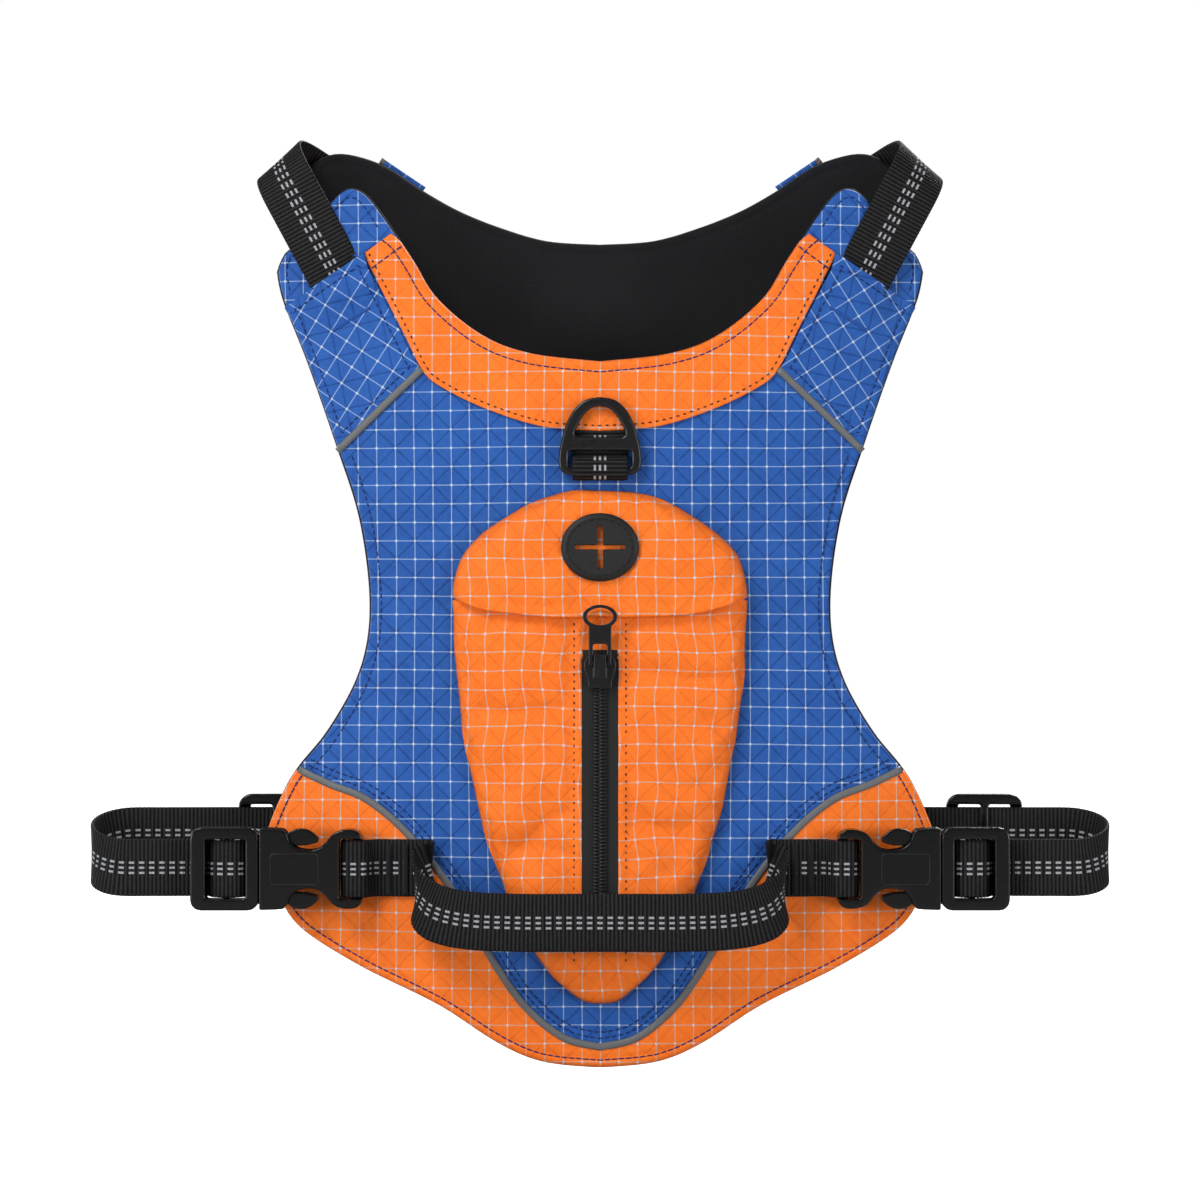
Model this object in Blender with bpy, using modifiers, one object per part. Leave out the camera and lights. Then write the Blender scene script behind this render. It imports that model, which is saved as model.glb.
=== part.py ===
"""Dog harness vest: a padded back panel and a chest panel joined by webbing.

The vest stands upright and is pressed flat, as if a slim torso filled it.
The back panel faces -Y, the chest panel faces +Y, the neck is at +Z.
The origin is inside the vest, between the panels, at the height of the girth strap.
Lengths in this file are millimetres; meshes are made in metres.
"Left" is the -X side and "right" is the +X side.
"""

import math

import bmesh
import bpy
from mathutils import Matrix, Vector, geometry

MM = 0.001
GAP = 0.3                  # clearance kept between neighbouring pieces
GRID = 17.0                # spacing of the inner points of a curved panel
EDGE_STEP = 11.0           # longest straight piece of a panel's outline

WEBBING_WIDTH = 25.0
WEBBING_THICK = 1.6
PIPING_WIDTH = 3.4

# The two panels are bowed: y = middle + bow * (x / reach)^2, on their inner sides.
BACK_MIDDLE, BACK_BOW, BACK_REACH = -22.0, 16.0, 148.0
CHEST_MIDDLE, CHEST_BOW, CHEST_REACH = 16.0, -6.0, 90.0

# Heights of the layers above a panel's inner side.
PAD_TOP = 5.0
SHELL_TOP = 6.3
PATCH_TOP = 7.6
FABRIC = SHELL_TOP - PAD_TOP - GAP

BUCKLE_Y = -29.0           # middle of the buckles' thickness
BUCKLE_Z = -13.0
REAR_STRAP_Z = -1.0
LOOP_X = 206.0             # where the girth strap's end loop starts
LOOP_FRONT_Y = -24.0
LOOP_REAR_Y = 9.6

STRAP_RISE = math.radians(61.5)     # shoulder strap's climb on the back side
STRAP_FALL = math.radians(213.5)    # and its way down on the chest side
SHOULDER_EXIT = (119.0, 253.0)      # x, z where it leaves the back panel
SHOULDER_FOLD = (134.0, 280.0)      # x, z where it starts to fold over
SHOULDER_REAR_Y = (16.6, 24.2)      # y at the fold and at the chest panel
SHOULDER_REAR_LENGTH = 68.0

RING_AXIS_Z = 159.2
RING_OFFSET = 10.7         # ring's axis above the back panel's inner side
ZIP_TOP = 82.0
ZIP_BOTTOM = -40.0
SLIDER_Z = 72.5
SKIN_TOP = 14.9            # pocket front above the back panel's inner side
HOOD_LIFT = 2.6            # the hood's height above the pocket front
GROMMET = (0.0, 126.2)     # x, z of the eyelet's middle

HANDLE_HINGE_Y = -28.3
HANDLE_HINGE_Z = BUCKLE_Z + WEBBING_WIDTH / 2 + 0.6
HANDLE_END_X = 72.5
HANDLE_FRONT_Y = -53.0

BLUE = (0.03, 0.13, 0.55)
ORANGE = (1.0, 0.20, 0.02)
BLACK = (0.012, 0.012, 0.013)
GREY = (0.17, 0.18, 0.19)


# ---------------------------------------------------------------- helpers

def clear_scene():
    for item in list(bpy.data.objects):
        bpy.data.objects.remove(item, do_unlink=True)


def make_collection(name):
    group = bpy.data.collections.new(name)
    bpy.context.scene.collection.children.link(group)
    return group


def material(name, colour, roughness, metallic=0.0):
    """One Principled material for each sub-part."""
    mat = bpy.data.materials.new(name)
    mat.use_nodes = True
    shader = mat.node_tree.nodes["Principled BSDF"]
    shader.inputs["Base Color"].default_value = (*colour, 1.0)
    shader.inputs["Roughness"].default_value = roughness
    shader.inputs["Metallic"].default_value = metallic
    return mat


def add_object(name, bm, colour, roughness=0.8, origin=(0, 0, 0)):
    """Turn a bmesh in millimetres into an object whose origin is at the given point."""
    bmesh.ops.translate(bm, verts=bm.verts, vec=-Vector(origin))
    bmesh.ops.scale(bm, verts=bm.verts, vec=(MM, MM, MM))
    mesh = bpy.data.meshes.new(name)
    bm.to_mesh(mesh)
    bm.free()
    obj = bpy.data.objects.new(name, mesh)
    obj.location = Vector(origin) * MM
    PARTS.objects.link(obj)
    mesh.materials.append(material(name, colour, roughness))
    return obj


def solidify(obj, thickness, offset=-1.0):
    mod = obj.modifiers.new("thickness", "SOLIDIFY")
    mod.thickness = thickness * MM
    mod.offset = offset
    mod.use_even_offset = True
    return obj


def combine(obj, tool, operation):
    """Use a tool's shape on an object; the tool is hidden and kept apart."""
    CUTTERS.objects.link(tool)
    PARTS.objects.unlink(tool)
    tool.hide_render = True
    tool.display_type = "WIRE"
    mod = obj.modifiers.new(operation.lower(), "BOOLEAN")
    mod.operation = operation
    mod.solver = "EXACT"
    mod.object = tool


def cut(obj, tool):
    combine(obj, tool, "DIFFERENCE")


def join(obj, tool):
    combine(obj, tool, "UNION")


def box(name, low, high, colour, roughness=0.5, origin=(0, 0, 0)):
    """A block between two corners."""
    low, high = Vector(low), Vector(high)
    bm = bmesh.new()
    bmesh.ops.create_cube(bm, size=1.0)
    bmesh.ops.scale(bm, verts=bm.verts, vec=high - low)
    bmesh.ops.translate(bm, verts=bm.verts, vec=(low + high) / 2)
    return add_object(name, bm, colour, roughness, origin)


def prism_mesh(outline, y_low, y_high):
    """A flat outline in x and z, given thickness along y."""
    bm = bmesh.new()
    face = bm.faces.new([bm.verts.new((x, y_low, z)) for x, z in outline])
    top = bmesh.ops.extrude_face_region(bm, geom=[face])
    moved = [v for v in top["geom"] if isinstance(v, bmesh.types.BMVert)]
    bmesh.ops.translate(bm, verts=moved, vec=(0, y_high - y_low, 0))
    bmesh.ops.recalc_face_normals(bm, faces=bm.faces)
    return bm


def prism(name, outline, y_low, y_high, colour, roughness=0.5, origin=(0, 0, 0)):
    return add_object(name, prism_mesh(outline, y_low, y_high), colour, roughness, origin)


def rounded_rect(x0, x1, z0, z1, radius, steps=6):
    """Corner arcs, counter-clockwise."""
    points = []
    corners = ((x1 - radius, z1 - radius, 0), (x0 + radius, z1 - radius, 90),
               (x0 + radius, z0 + radius, 180), (x1 - radius, z0 + radius, 270))
    for cx, cz, start in corners:
        for i in range(steps + 1):
            angle = math.radians(start + 90 * i / steps)
            points.append((cx + radius * math.cos(angle), cz + radius * math.sin(angle)))
    return points


def ellipse(rx, rz, centre, steps=36):
    turn = [2 * math.pi * i / steps for i in range(steps)]
    return [(centre[0] + rx * math.cos(a), centre[1] + rz * math.sin(a)) for a in turn]


def smooth(points, steps=3):
    """A soft curve through the points (Catmull-Rom), open at its ends."""
    result = []
    last = len(points) - 1
    for i in range(last):
        p0 = Vector(points[max(i - 1, 0)])
        p1 = Vector(points[i])
        p2 = Vector(points[i + 1])
        p3 = Vector(points[min(i + 2, last)])
        for k in range(steps):
            t = k / steps
            result.append(tuple(0.5 * (2 * p1 + (p2 - p0) * t
                                       + (2 * p0 - 5 * p1 + 4 * p2 - p3) * t * t
                                       + (3 * p1 - p0 - 3 * p2 + p3) * t ** 3)))
    result.append(tuple(points[-1]))
    return result


def flipped(points):
    """The mirror image on the other side, in the opposite order."""
    return [(-x, z) for x, z in reversed(points)]


def closed(half):
    """Close a right half, which runs from the centre line back to it, with its mirror image."""
    return half + flipped(half)[1:-1]


def sided(points, side):
    """A right-hand outline, or its mirror image for side -1."""
    return [(x * side, z) for x, z in points]


def signed_area(points):
    total = 0.0
    for (x0, z0), (x1, z1) in zip(points, points[1:] + points[:1]):
        total += x0 * z1 - x1 * z0
    return total / 2


def inset(points, distance):
    """Move an outline inwards, corner by corner."""
    if signed_area(points) < 0:
        points = points[::-1]
    result = []
    count = len(points)
    for i, point in enumerate(points):
        before = Vector(point) - Vector(points[i - 1])
        after = Vector(points[(i + 1) % count]) - Vector(point)
        n0 = Vector((-before.y, before.x)).normalized()
        n1 = Vector((-after.y, after.x)).normalized()
        bisector = (n0 + n1).normalized()
        reach = distance / max(bisector.dot(n0), 0.5)
        result.append(tuple(Vector(point) + bisector * reach))
    return result


def resample(points, step):
    """Split the long sides of a closed outline."""
    result = []
    for a, b in zip(points, points[1:] + points[:1]):
        a, b = Vector(a), Vector(b)
        pieces = max(1, math.ceil((b - a).length / step))
        result += [tuple(a.lerp(b, k / pieces)) for k in range(pieces)]
    return result


def edge_distance(point, outline):
    """Distance from a point to the nearest side of an outline."""
    best = 1e9
    point = Vector(point)
    for a, b in zip(outline, outline[1:] + outline[:1]):
        a, b = Vector(a), Vector(b)
        side = b - a
        t = max(0.0, min(1.0, (point - a).dot(side) / max(side.length_squared, 1e-9)))
        best = min(best, (point - a - side * t).length)
    return best


def inside(point, outline):
    x, z = point
    result = False
    for (x0, z0), (x1, z1) in zip(outline, outline[1:] + outline[:1]):
        if (z0 > z) != (z1 > z) and x < (x1 - x0) * (z - z0) / (z1 - z0) + x0:
            result = not result
    return result


def back_y(x):
    return BACK_MIDDLE + BACK_BOW * (x / BACK_REACH) ** 2


def chest_y(x):
    return CHEST_MIDDLE + CHEST_BOW * (x / CHEST_REACH) ** 2


def sheet_mesh(outline, height, facing, grid):
    """A filled outline, bent onto a panel; height is a function of x and z.

    facing is -1 on the back panel, whose outside is -Y, and +1 on the chest panel.
    """
    outline = resample(outline, EDGE_STEP)
    if signed_area(outline) < 0:
        outline = outline[::-1]
    xs = [p[0] for p in outline]
    zs = [p[1] for p in outline]
    points = [Vector(p) for p in outline]
    rows = int((max(zs) - min(zs)) / grid) + 1
    columns = int((max(xs) - min(xs)) / grid) + 1
    for row in range(rows):
        for column in range(columns):
            spot = (min(xs) + (column + 0.5) * grid, min(zs) + (row + 0.5) * grid)
            if inside(spot, outline) and edge_distance(spot, outline) > grid * 0.45:
                points.append(Vector(spot))
    count = len(outline)
    sides = [(i, (i + 1) % count) for i in range(count)]
    flat = geometry.delaunay_2d_cdt(points, sides, [], 1, 1e-5)
    base = back_y if facing < 0 else chest_y
    bm = bmesh.new()
    verts = [bm.verts.new((p.x, base(p.x) + facing * height(p.x, p.y), p.y)) for p in flat[0]]
    for corners in flat[2]:
        bm.faces.new([verts[i] for i in corners])
    bmesh.ops.recalc_face_normals(bm, faces=bm.faces)
    bm.faces.ensure_lookup_table()
    if bm.faces[0].normal.y * facing < 0:
        bmesh.ops.reverse_faces(bm, faces=bm.faces)
    return bm


def panel(name, outline, top, thickness, colour, facing=-1, grid=GRID, roughness=0.8):
    """A layer of cloth or padding that lies on a panel; its outer side is at height top."""
    height = top if callable(top) else (lambda x, z: top)
    obj = add_object(name, sheet_mesh(outline, height, facing, grid), colour, roughness)
    return solidify(obj, thickness)


def piping(name, line, low, high, colour, facing=-1):
    """A flat cord along a line on a panel."""
    left = []
    right = []
    for i, point in enumerate(line):
        ahead = Vector(line[min(i + 1, len(line) - 1)]) - Vector(line[max(i - 1, 0)])
        across = Vector((-ahead.y, ahead.x)).normalized() * (PIPING_WIDTH / 2 - GAP)
        left.append(tuple(Vector(point) + across))
        right.append(tuple(Vector(point) - across))
    bm = bmesh.new()
    base = back_y if facing < 0 else chest_y
    rows = [[bm.verts.new((x, base(x) + facing * high, z)) for x, z in pair]
            for pair in zip(left, right)]
    for a, b in zip(rows, rows[1:]):
        bm.faces.new((a[0], a[1], b[1], b[0]))
    bm.faces.ensure_lookup_table()
    bm.normal_update()
    if bm.faces[0].normal.y * facing < 0:
        bmesh.ops.reverse_faces(bm, faces=bm.faces)
    return solidify(add_object(name, bm, colour, 0.5), high - low)


def ribbon(name, stations, width=WEBBING_WIDTH, thick=WEBBING_THICK, colour=BLACK,
           origin=(0, 0, 0)):
    """Webbing along stations; each is a centre point and the direction of the width."""
    bm = bmesh.new()
    rows = []
    for centre, across in stations:
        half = Vector(across).normalized() * width / 2
        rows.append((bm.verts.new(Vector(centre) - half), bm.verts.new(Vector(centre) + half)))
    for a, b in zip(rows, rows[1:]):
        bm.faces.new((a[0], a[1], b[1], b[0]))
    return solidify(add_object(name, bm, colour, 0.85, origin), thick, offset=0.0)


def side_name(side):
    return "right" if side > 0 else "left"


# ---------------------------------------------------------------- outlines

# Back panel, right half. Neckline: from the centre up to the shoulder tip.
NECKLINE = smooth([(0, 207.5), (30, 211), (51, 219), (70.6, 235), (81, 251.5), (94, 271)], 2)
SHOULDER_TIP = smooth([(94, 271), (102, 281), (109.5, 284), (117, 279), (127, 266), (139, 255)], 2)
BACK_SIDE = smooth([(142, 248), (139.3, 235), (128.5, 208), (115.3, 170.4), (105.1, 138),
                    (100.7, 101), (105.1, 73), (119, 47), (136.6, 24.3), (148.5, -6.8),
                    (141, -27)], 2)
BACK_HEM = smooth([(141, -27), (131, -40.6), (104.4, -56.8), (70.6, -73), (45, -89.2),
                   (25, -97.5), (0, -100)], 2)
BACK_OUTLINE = closed(NECKLINE + SHOULDER_TIP[1:] + BACK_SIDE + BACK_HEM[1:])

YOKE_OUTER = smooth([(0, 176.5), (25.4, 178.5), (50.7, 186.6), (70, 196.5), (80.8, 211),
                     (91.3, 235), (97, 252)], 2)
YOKE = closed(NECKLINE[:-1] + [(92.5, 263.0), (103.0, 254.5)] + YOKE_OUTER[::-1])

WING_EDGE = smooth([(131.5, 29), (101, 16.2), (82, 0), (62, -26), (46, -54), (32.5, -73),
                    (16, -86.5), (0, -90.5)], 2)
SHOULDER_SEAM = [(113.5, 167.5), (96, 186.0), (78.5, 203.0)]

POCKET_SIDE = smooth([(0, 151.4), (27.7, 146), (43.6, 138), (54, 129.8), (60.5, 121.7),
                      (63.9, 108), (63.9, 97.3), (61.9, 65), (57.1, 32.4), (51.7, 8.1),
                      (45.0, -12), (36, -37), (23.3, -57), (10, -69.5), (0, -71.6)], 2)
POCKET_OUTLINE = closed(POCKET_SIDE)
FOLD_LINE = smooth([(0, 96.5), (27, 96.5), (50, 99.5), (66, 105.5)], 2)

CHEST_WAIST = smooth([(76.7, 223.5), (65.6, 208.9), (53.1, 192.7), (42.9, 168.3), (37.2, 127.8),
                      (38.9, 100), (46, 71), (63.2, 46.6), (87.5, 31.5)], 2)
CHEST_BODY = closed([(0, 262.3), (25, 264), (48, 270.4)] + CHEST_WAIST
                    + [(89.2, 6), (89.0, -26.4), (45, -31.5), (0, -32.4)])
SIDE_TAB = [(89.5, 32.0), (112, 31)] + smooth([(112, 31), (120, 24), (121, 5), (120, -17),
                                               (112, -25)], 2)[1:] + [(89.5, -26.2)]
SHOULDER_TAB = ([(79, 224.4)] + smooth([(79, 224.4), (105.5, 241.3), (138, 264), (140.5, 271),
                                        (133, 288), (117, 301.5)], 2)[1:]
                + smooth([(117, 301.5), (97.3, 297.4), (79.1, 286), (50, 271.6)], 2)[1:])
CHEST_PAD = closed([(0, 262.3), (25, 264), (48, 270.4)] + SHOULDER_TAB[:0:-1]
                   + CHEST_WAIST + SIDE_TAB[1:-1] + [(89.0, -26.6), (45, -31.5), (0, -32.4)])


# ---------------------------------------------------------------- back panel

def side_between(z_high, z_low):
    """The stretch of the back panel's side edge between two heights, from the top down."""
    return [p for p in BACK_SIDE if z_low < p[1] < z_high]


def build_back_panel():
    panel("back_lining", BACK_OUTLINE, PAD_TOP, PAD_TOP, BLACK)
    panel("back_shell", inset(BACK_OUTLINE, 1.0), SHELL_TOP, FABRIC, BLUE)
    panel("neck_yoke", inset(YOKE, 0.8), PATCH_TOP, FABRIC, ORANGE)
    hem = [p for p in BACK_SIDE if p[1] < 29] + BACK_HEM[1:]
    wings = hem + flipped(hem)[1:] + sided(WING_EDGE, -1) + WING_EDGE[-2::-1]
    panel("wing_panel", inset(wings, 2.1), PATCH_TOP, FABRIC, ORANGE)
    piping("wing_piping", WING_EDGE + flipped(WING_EDGE)[1:], SHELL_TOP + GAP,
           PATCH_TOP + 0.5, GREY)
    for side in (-1, 1):
        patch = ([(101.0, 255.0), (138.0, 233.0)] + side_between(230, 171)
                 + [(114.5, 168.0), (96, 186.0), (78.0, 203.5)]
                 + [p for p in YOKE_OUTER if p[1] > 205])
        panel("shoulder_patch_" + side_name(side), inset(sided(patch, side), 2.0),
              PATCH_TOP, FABRIC, BLUE)
        piping("shoulder_piping_" + side_name(side), sided(SHOULDER_SEAM, side),
               SHELL_TOP + GAP, PATCH_TOP + 0.5, GREY)


# ---------------------------------------------------------------- pocket

def pocket_height(x, z):
    """The pocket's front rises from its stitched edge to a flat middle."""
    rise = min(1.0, edge_distance((x, z), POCKET_OUTLINE) / 13.0)
    return 7.9 + (SKIN_TOP - 7.9) * math.sin(rise * math.pi / 2)


def hood_height(x, z):
    """The hood lies over the pocket's front, and comes down to it at the very top."""
    lift = max(0.0, min(1.0, (152.0 - z) / 10.0))
    return pocket_height(x, z) + HOOD_LIFT * lift


def build_pocket():
    lower = [p for p in POCKET_SIDE if p[1] < 103]
    top_edge = [(x, z + 3.5) for x, z in FOLD_LINE if x < 60]
    body = closed(top_edge + lower)
    front = panel("pocket_body", body, pocket_height, 1.2, ORANGE, grid=10.0)
    slot = box("zip_slot_cutter", (-5.5, -45, ZIP_BOTTOM + 5), (5.5, -25, ZIP_TOP - 4), ORANGE)
    cut(front, slot)
    upper = [p for p in POCKET_SIDE if p[1] > 107]
    hood = closed(upper + FOLD_LINE[::-1][1:])
    cover = panel("pocket_hood", hood, hood_height, 1.2, ORANGE, grid=10.0)
    hole = prism("grommet_hole_cutter", ellipse(12.6, 10.4, GROMMET), -50, -25, ORANGE)
    cut(cover, hole)


def build_grommet():
    """An oval rubber eyelet with a cross-shaped slit; its flange lies on the hood."""
    face = back_y(0) - SKIN_TOP - HOOD_LIFT - GAP
    bm = bmesh.new()
    rings = ((16.9, 14.8, face), (16.9, 14.8, face - 1.4), (15.2, 13.2, face - 2.6))
    rows = [[bm.verts.new((x, y, z)) for x, z in ellipse(rx, rz, GROMMET)]
            for rx, rz, y in rings]
    barrel = [[bm.verts.new((x, y, z)) for x, z in ellipse(11.9, 9.7, GROMMET)]
              for y in (face + 3.2, face)]
    rows = barrel + rows
    for a, b in zip(rows, rows[1:]):
        for i in range(len(a)):
            j = (i + 1) % len(a)
            bm.faces.new((a[i], a[j], b[j], b[i]))
    bm.faces.new(rows[0])
    bm.faces.new(rows[-1])
    bmesh.ops.recalc_face_normals(bm, faces=bm.faces)
    eyelet = add_object("grommet", bm, BLACK, 0.5)
    x, z = GROMMET
    across = box("slit_cutter_across", (x - 10.8, face - 5, z - 0.9), (x + 10.8, face + 6, z + 0.9), BLACK)
    upright = box("slit_cutter_upright", (x - 1.2, face - 5, z - 9.2), (x + 1.2, face + 6, z + 9.2), BLACK)
    cut(eyelet, across)
    cut(eyelet, upright)


def build_zip():
    """Tape, toothed chain, slider and pull; the slider runs down the chain."""
    tape = back_y(0) - SKIN_TOP - 0.5
    chain = tape - 0.8 - GAP
    box("zip_tape", (-8.3, tape - 0.8, ZIP_BOTTOM), (8.3, tape, ZIP_TOP), BLACK, 0.8)
    pitch = 5.0
    teeth = int((ZIP_TOP - ZIP_BOTTOM - 4) / pitch)
    outline = []
    for i in range(teeth):
        z = ZIP_BOTTOM + 2 + i * pitch
        outline += [(2.6, z), (2.6, z + pitch * 0.5), (1.9, z + pitch * 0.6), (1.9, z + pitch * 0.9)]
    bm = prism_mesh(outline + flipped(outline), chain - 1.7, chain)
    add_object("zip_chain", bm, BLACK, 0.4)

    front = chain - 1.7 - 0.4
    face = front - 1.6
    z = SLIDER_Z
    half = smooth([(5.1, z - 6.8), (5.3, z - 3.5), (6.6, z + 0.5), (7.0, z + 3.5), (5.6, z + 6.8)], 2)
    body = prism("zip_slider", half + flipped(half), chain, face, BLACK, 0.35, origin=(0, front, z))
    join(body, box("bridge_shape", (-2.6, face - 3.6, z - 2.5), (2.6, face + 0.5, z + 7.5), BLACK))
    cut(body, box("zip_tunnel_cutter", (-3.1, front, z - 12), (3.1, chain + 3, z + 12), BLACK))
    pin_y, pin_z = face - 1.25, z + 3.5
    cut(body, box("pin_tunnel_cutter", (-6, face - 2.5, pin_z - 1.55), (6, face, pin_z + 1.55), BLACK))

    low, high = pin_y - 0.7, pin_y + 0.7
    plate = rounded_rect(-4.9, 4.9, pin_z - 0.65, pin_z + 17.5, 0.6)
    pull = prism("zip_pull", plate, low, high, BLACK, 0.35, origin=(0, pin_y, pin_z))
    join(pull, prism("pull_ring_shape", ellipse(7.5, 5.2, (0, pin_z + 20.3), 28), low, high, BLACK))
    for label, shape in (("eye", ellipse(5.7, 3.7, (0, pin_z + 20.4), 24)),
                         ("window", rounded_rect(-3.0, 3.0, pin_z + 0.65, pin_z + 8.6, 0.8))):
        cut(pull, prism("pull_%s_cutter" % label, shape, low - 2, high + 2, BLACK))


# ---------------------------------------------------------------- leash ring

def build_leash_ring():
    """A flat D-shaped ring with a cross bar; its lower bar is the hinge pin."""
    axis_y = back_y(0) - RING_OFFSET
    z0 = RING_AXIS_Z
    low, high = axis_y - 1.7, axis_y + 1.7
    base = z0 - 1.6
    half = smooth([(0, 33.8), (5.2, 33.0), (9.4, 30.5), (13.0, 25.8), (15.6, 19.5), (17.5, 11.5),
                   (18.0, 5.5), (16.9, 1.7), (13.5, 0.0)], 3)
    plate = closed([(x, base + up) for x, up in half] + [(0, base)])
    ring = prism("leash_ring", plate, low, high, BLACK, 0.4, origin=(0, axis_y, z0))
    half = smooth([(0, 29.9), (3.6, 29.0), (6.6, 26.4), (9.2, 22.3), (10.9, 18.4), (10.7, 17.0),
                   (9.6, 16.4)], 3)
    window = closed([(x, base + up) for x, up in half] + [(0, base + 16.4)])
    cut(ring, prism("ring_window_cutter", window, low - 2, high + 2, BLACK))
    cut(ring, box("ring_slot_cutter", (-13.6, low - 2, z0 + 1.7), (13.6, high + 2, z0 + 9.0), BLACK))

    anchor_y = back_y(0) - SHELL_TOP - GAP - WEBBING_THICK / 2
    front_y = 2 * axis_y - anchor_y
    middle = (anchor_y + front_y) / 2
    radius = (anchor_y - front_y) / 2
    path = [(anchor_y, z0 + 16.0), (anchor_y, z0)]
    for i in range(1, 8):
        angle = math.pi * i / 8
        path.append((middle + radius * math.cos(angle), z0 - radius * math.sin(angle)))
    path += [(front_y, z0), (front_y, z0 + 3.2), (front_y + 1.6, z0 + 5.4),
             (anchor_y - 2.4, z0 + 6.2)]
    ribbon("leash_ring_loop", [((0, y, z), (1, 0, 0)) for y, z in path], width=24.0)


# ---------------------------------------------------------------- handle

def build_handle():
    """A carrying handle: two sewn end tabs, and a grip that lifts about its upper edge."""
    for side in (-1, 1):
        path = [(73.2, back_y(73.2) - 9.0), (85, back_y(85) - 9.0), (95.5, back_y(95.5) - 9.0),
                (99, -26.0), (102, -31.6), (105.2, -32.4), (109.2, -32.2), (111.7, -29.2),
                (110.8, -24.9)]
        ribbon("handle_tab_" + side_name(side),
               [((side * x, y, BUCKLE_Z), (0, 0, 1)) for x, y in path])
    half = smooth([(HANDLE_END_X, -28.4, BUCKLE_Z), (76.4, -31.2, -15.0), (78.8, -37.0, -20.0),
                   (77.0, -43.5, -26.0), (70.0, -49.0, -30.8), (56.0, -52.2, -33.6),
                   (34.0, HANDLE_FRONT_Y, -34.5), (16.0, HANDLE_FRONT_Y, -34.5)], 2)
    path = half + [(-x, y, z) for x, y, z in reversed(half)]
    ribbon("handle_grip", [(p, (0, 0, 1)) for p in path],
           origin=(0, HANDLE_HINGE_Y, HANDLE_HINGE_Z))


# ---------------------------------------------------------------- side-release buckles

def build_buckle(side):
    name = side_name(side)
    y0, z0 = BUCKLE_Y, BUCKLE_Z

    def place(points):
        return [(side * u, z0 + v) for u, v in points]

    upper = [(147.5, 17.8)] + smooth([(137.2, 17.4), (135.4, 15.4), (134.2, 12.0), (131.0, 9.2),
                                      (126.6, 8.4), (122.0, 8.9), (118.6, 11.8), (115.6, 15.4),
                                      (111.6, 17.0), (107.2, 17.2), (104.2, 15.9), (103.0, 13.4)], 2)
    outline = upper + [(u, -v) for u, v in reversed(upper)]
    female = prism("buckle_female_" + name, place(outline), y0 - 5.5, y0 + 5.5, BLACK, 0.4)
    cut(female, box("cavity_cutter_" + name, (min(side * 119, side * 150), y0 - 3.1, z0 - 20),
                    (max(side * 119, side * 150), y0 + 3.1, z0 + 20), BLACK))
    cut(female, box("web_window_cutter_" + name, (min(side * 107, side * 113), y0 - 8, z0 - 13),
                    (max(side * 107, side * 113), y0 + 8, z0 + 13), BLACK))
    for low, high in ((-8.0, -1.7), (2.6, 8.0)):
        cut(female, box("bar_cutter_%s_%s" % (name, "front" if low < -5 else "rear"),
                        (min(side * 100, side * 110), y0 + low, z0 - 13),
                        (max(side * 100, side * 110), y0 + high, z0 + 13), BLACK))

    frame = rounded_rect(148.0, 177.5, -18.0, 18.0, 4.5)
    male = prism("buckle_male_" + name, place(frame), y0 - 4.6, y0 + 4.5, BLACK, 0.4)
    for label, low, high in (("inner", 153.5, 160.5), ("outer", 163.5, 171.0)):
        cut(male, box("ladder_cutter_%s_%s" % (label, name),
                      (min(side * low, side * high), y0 - 8, z0 - 12.9),
                      (max(side * low, side * high), y0 + 8, z0 + 12.9), BLACK))
    cut(male, box("ladder_face_cutter_" + name,
                  (min(side * 153.5, side * 171), y0 - 8, z0 - 12.9),
                  (max(side * 153.5, side * 171), y0 + 1.2, z0 + 12.9), BLACK))
    prong = [(148.5, 15.2), (143.0, 15.2), (143.0, 3.6), (124.0, 3.0), (122.0, 1.5),
             (122.0, -1.5), (124.0, -3.0), (143.0, -3.6), (143.0, -15.2), (148.5, -15.2)]
    tongue = prism("tongue_shape_" + name, place(prong), y0 - 2.7, y0 + 2.7, BLACK)
    join(male, tongue)

    arm = [(142.6, 9.6), (142.6, 14.4)] + smooth([(135.8, 14.2), (134.8, 15.8), (132.0, 17.2),
                                                  (128.4, 17.4), (125.0, 16.2), (121.8, 13.2)], 2)
    arm += [(122.4, 11.4), (127.0, 10.2), (132.0, 10.0)]
    for level, sign in (("upper", 1), ("lower", -1)):
        prism("buckle_arm_%s_%s" % (level, name), place([(u, v * sign) for u, v in arm]),
              y0 - 2.4, y0 + 2.4, BLACK, 0.4, origin=(side * 142.0, y0, z0 + 12.0 * sign))


# ---------------------------------------------------------------- girth strap

def rear_strap_direction():
    """Unit direction of the straight rear strap, outwards on the right side."""
    return Vector((LOOP_X - 124.0, LOOP_REAR_Y - 12.9, 0)).normalized()


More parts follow.
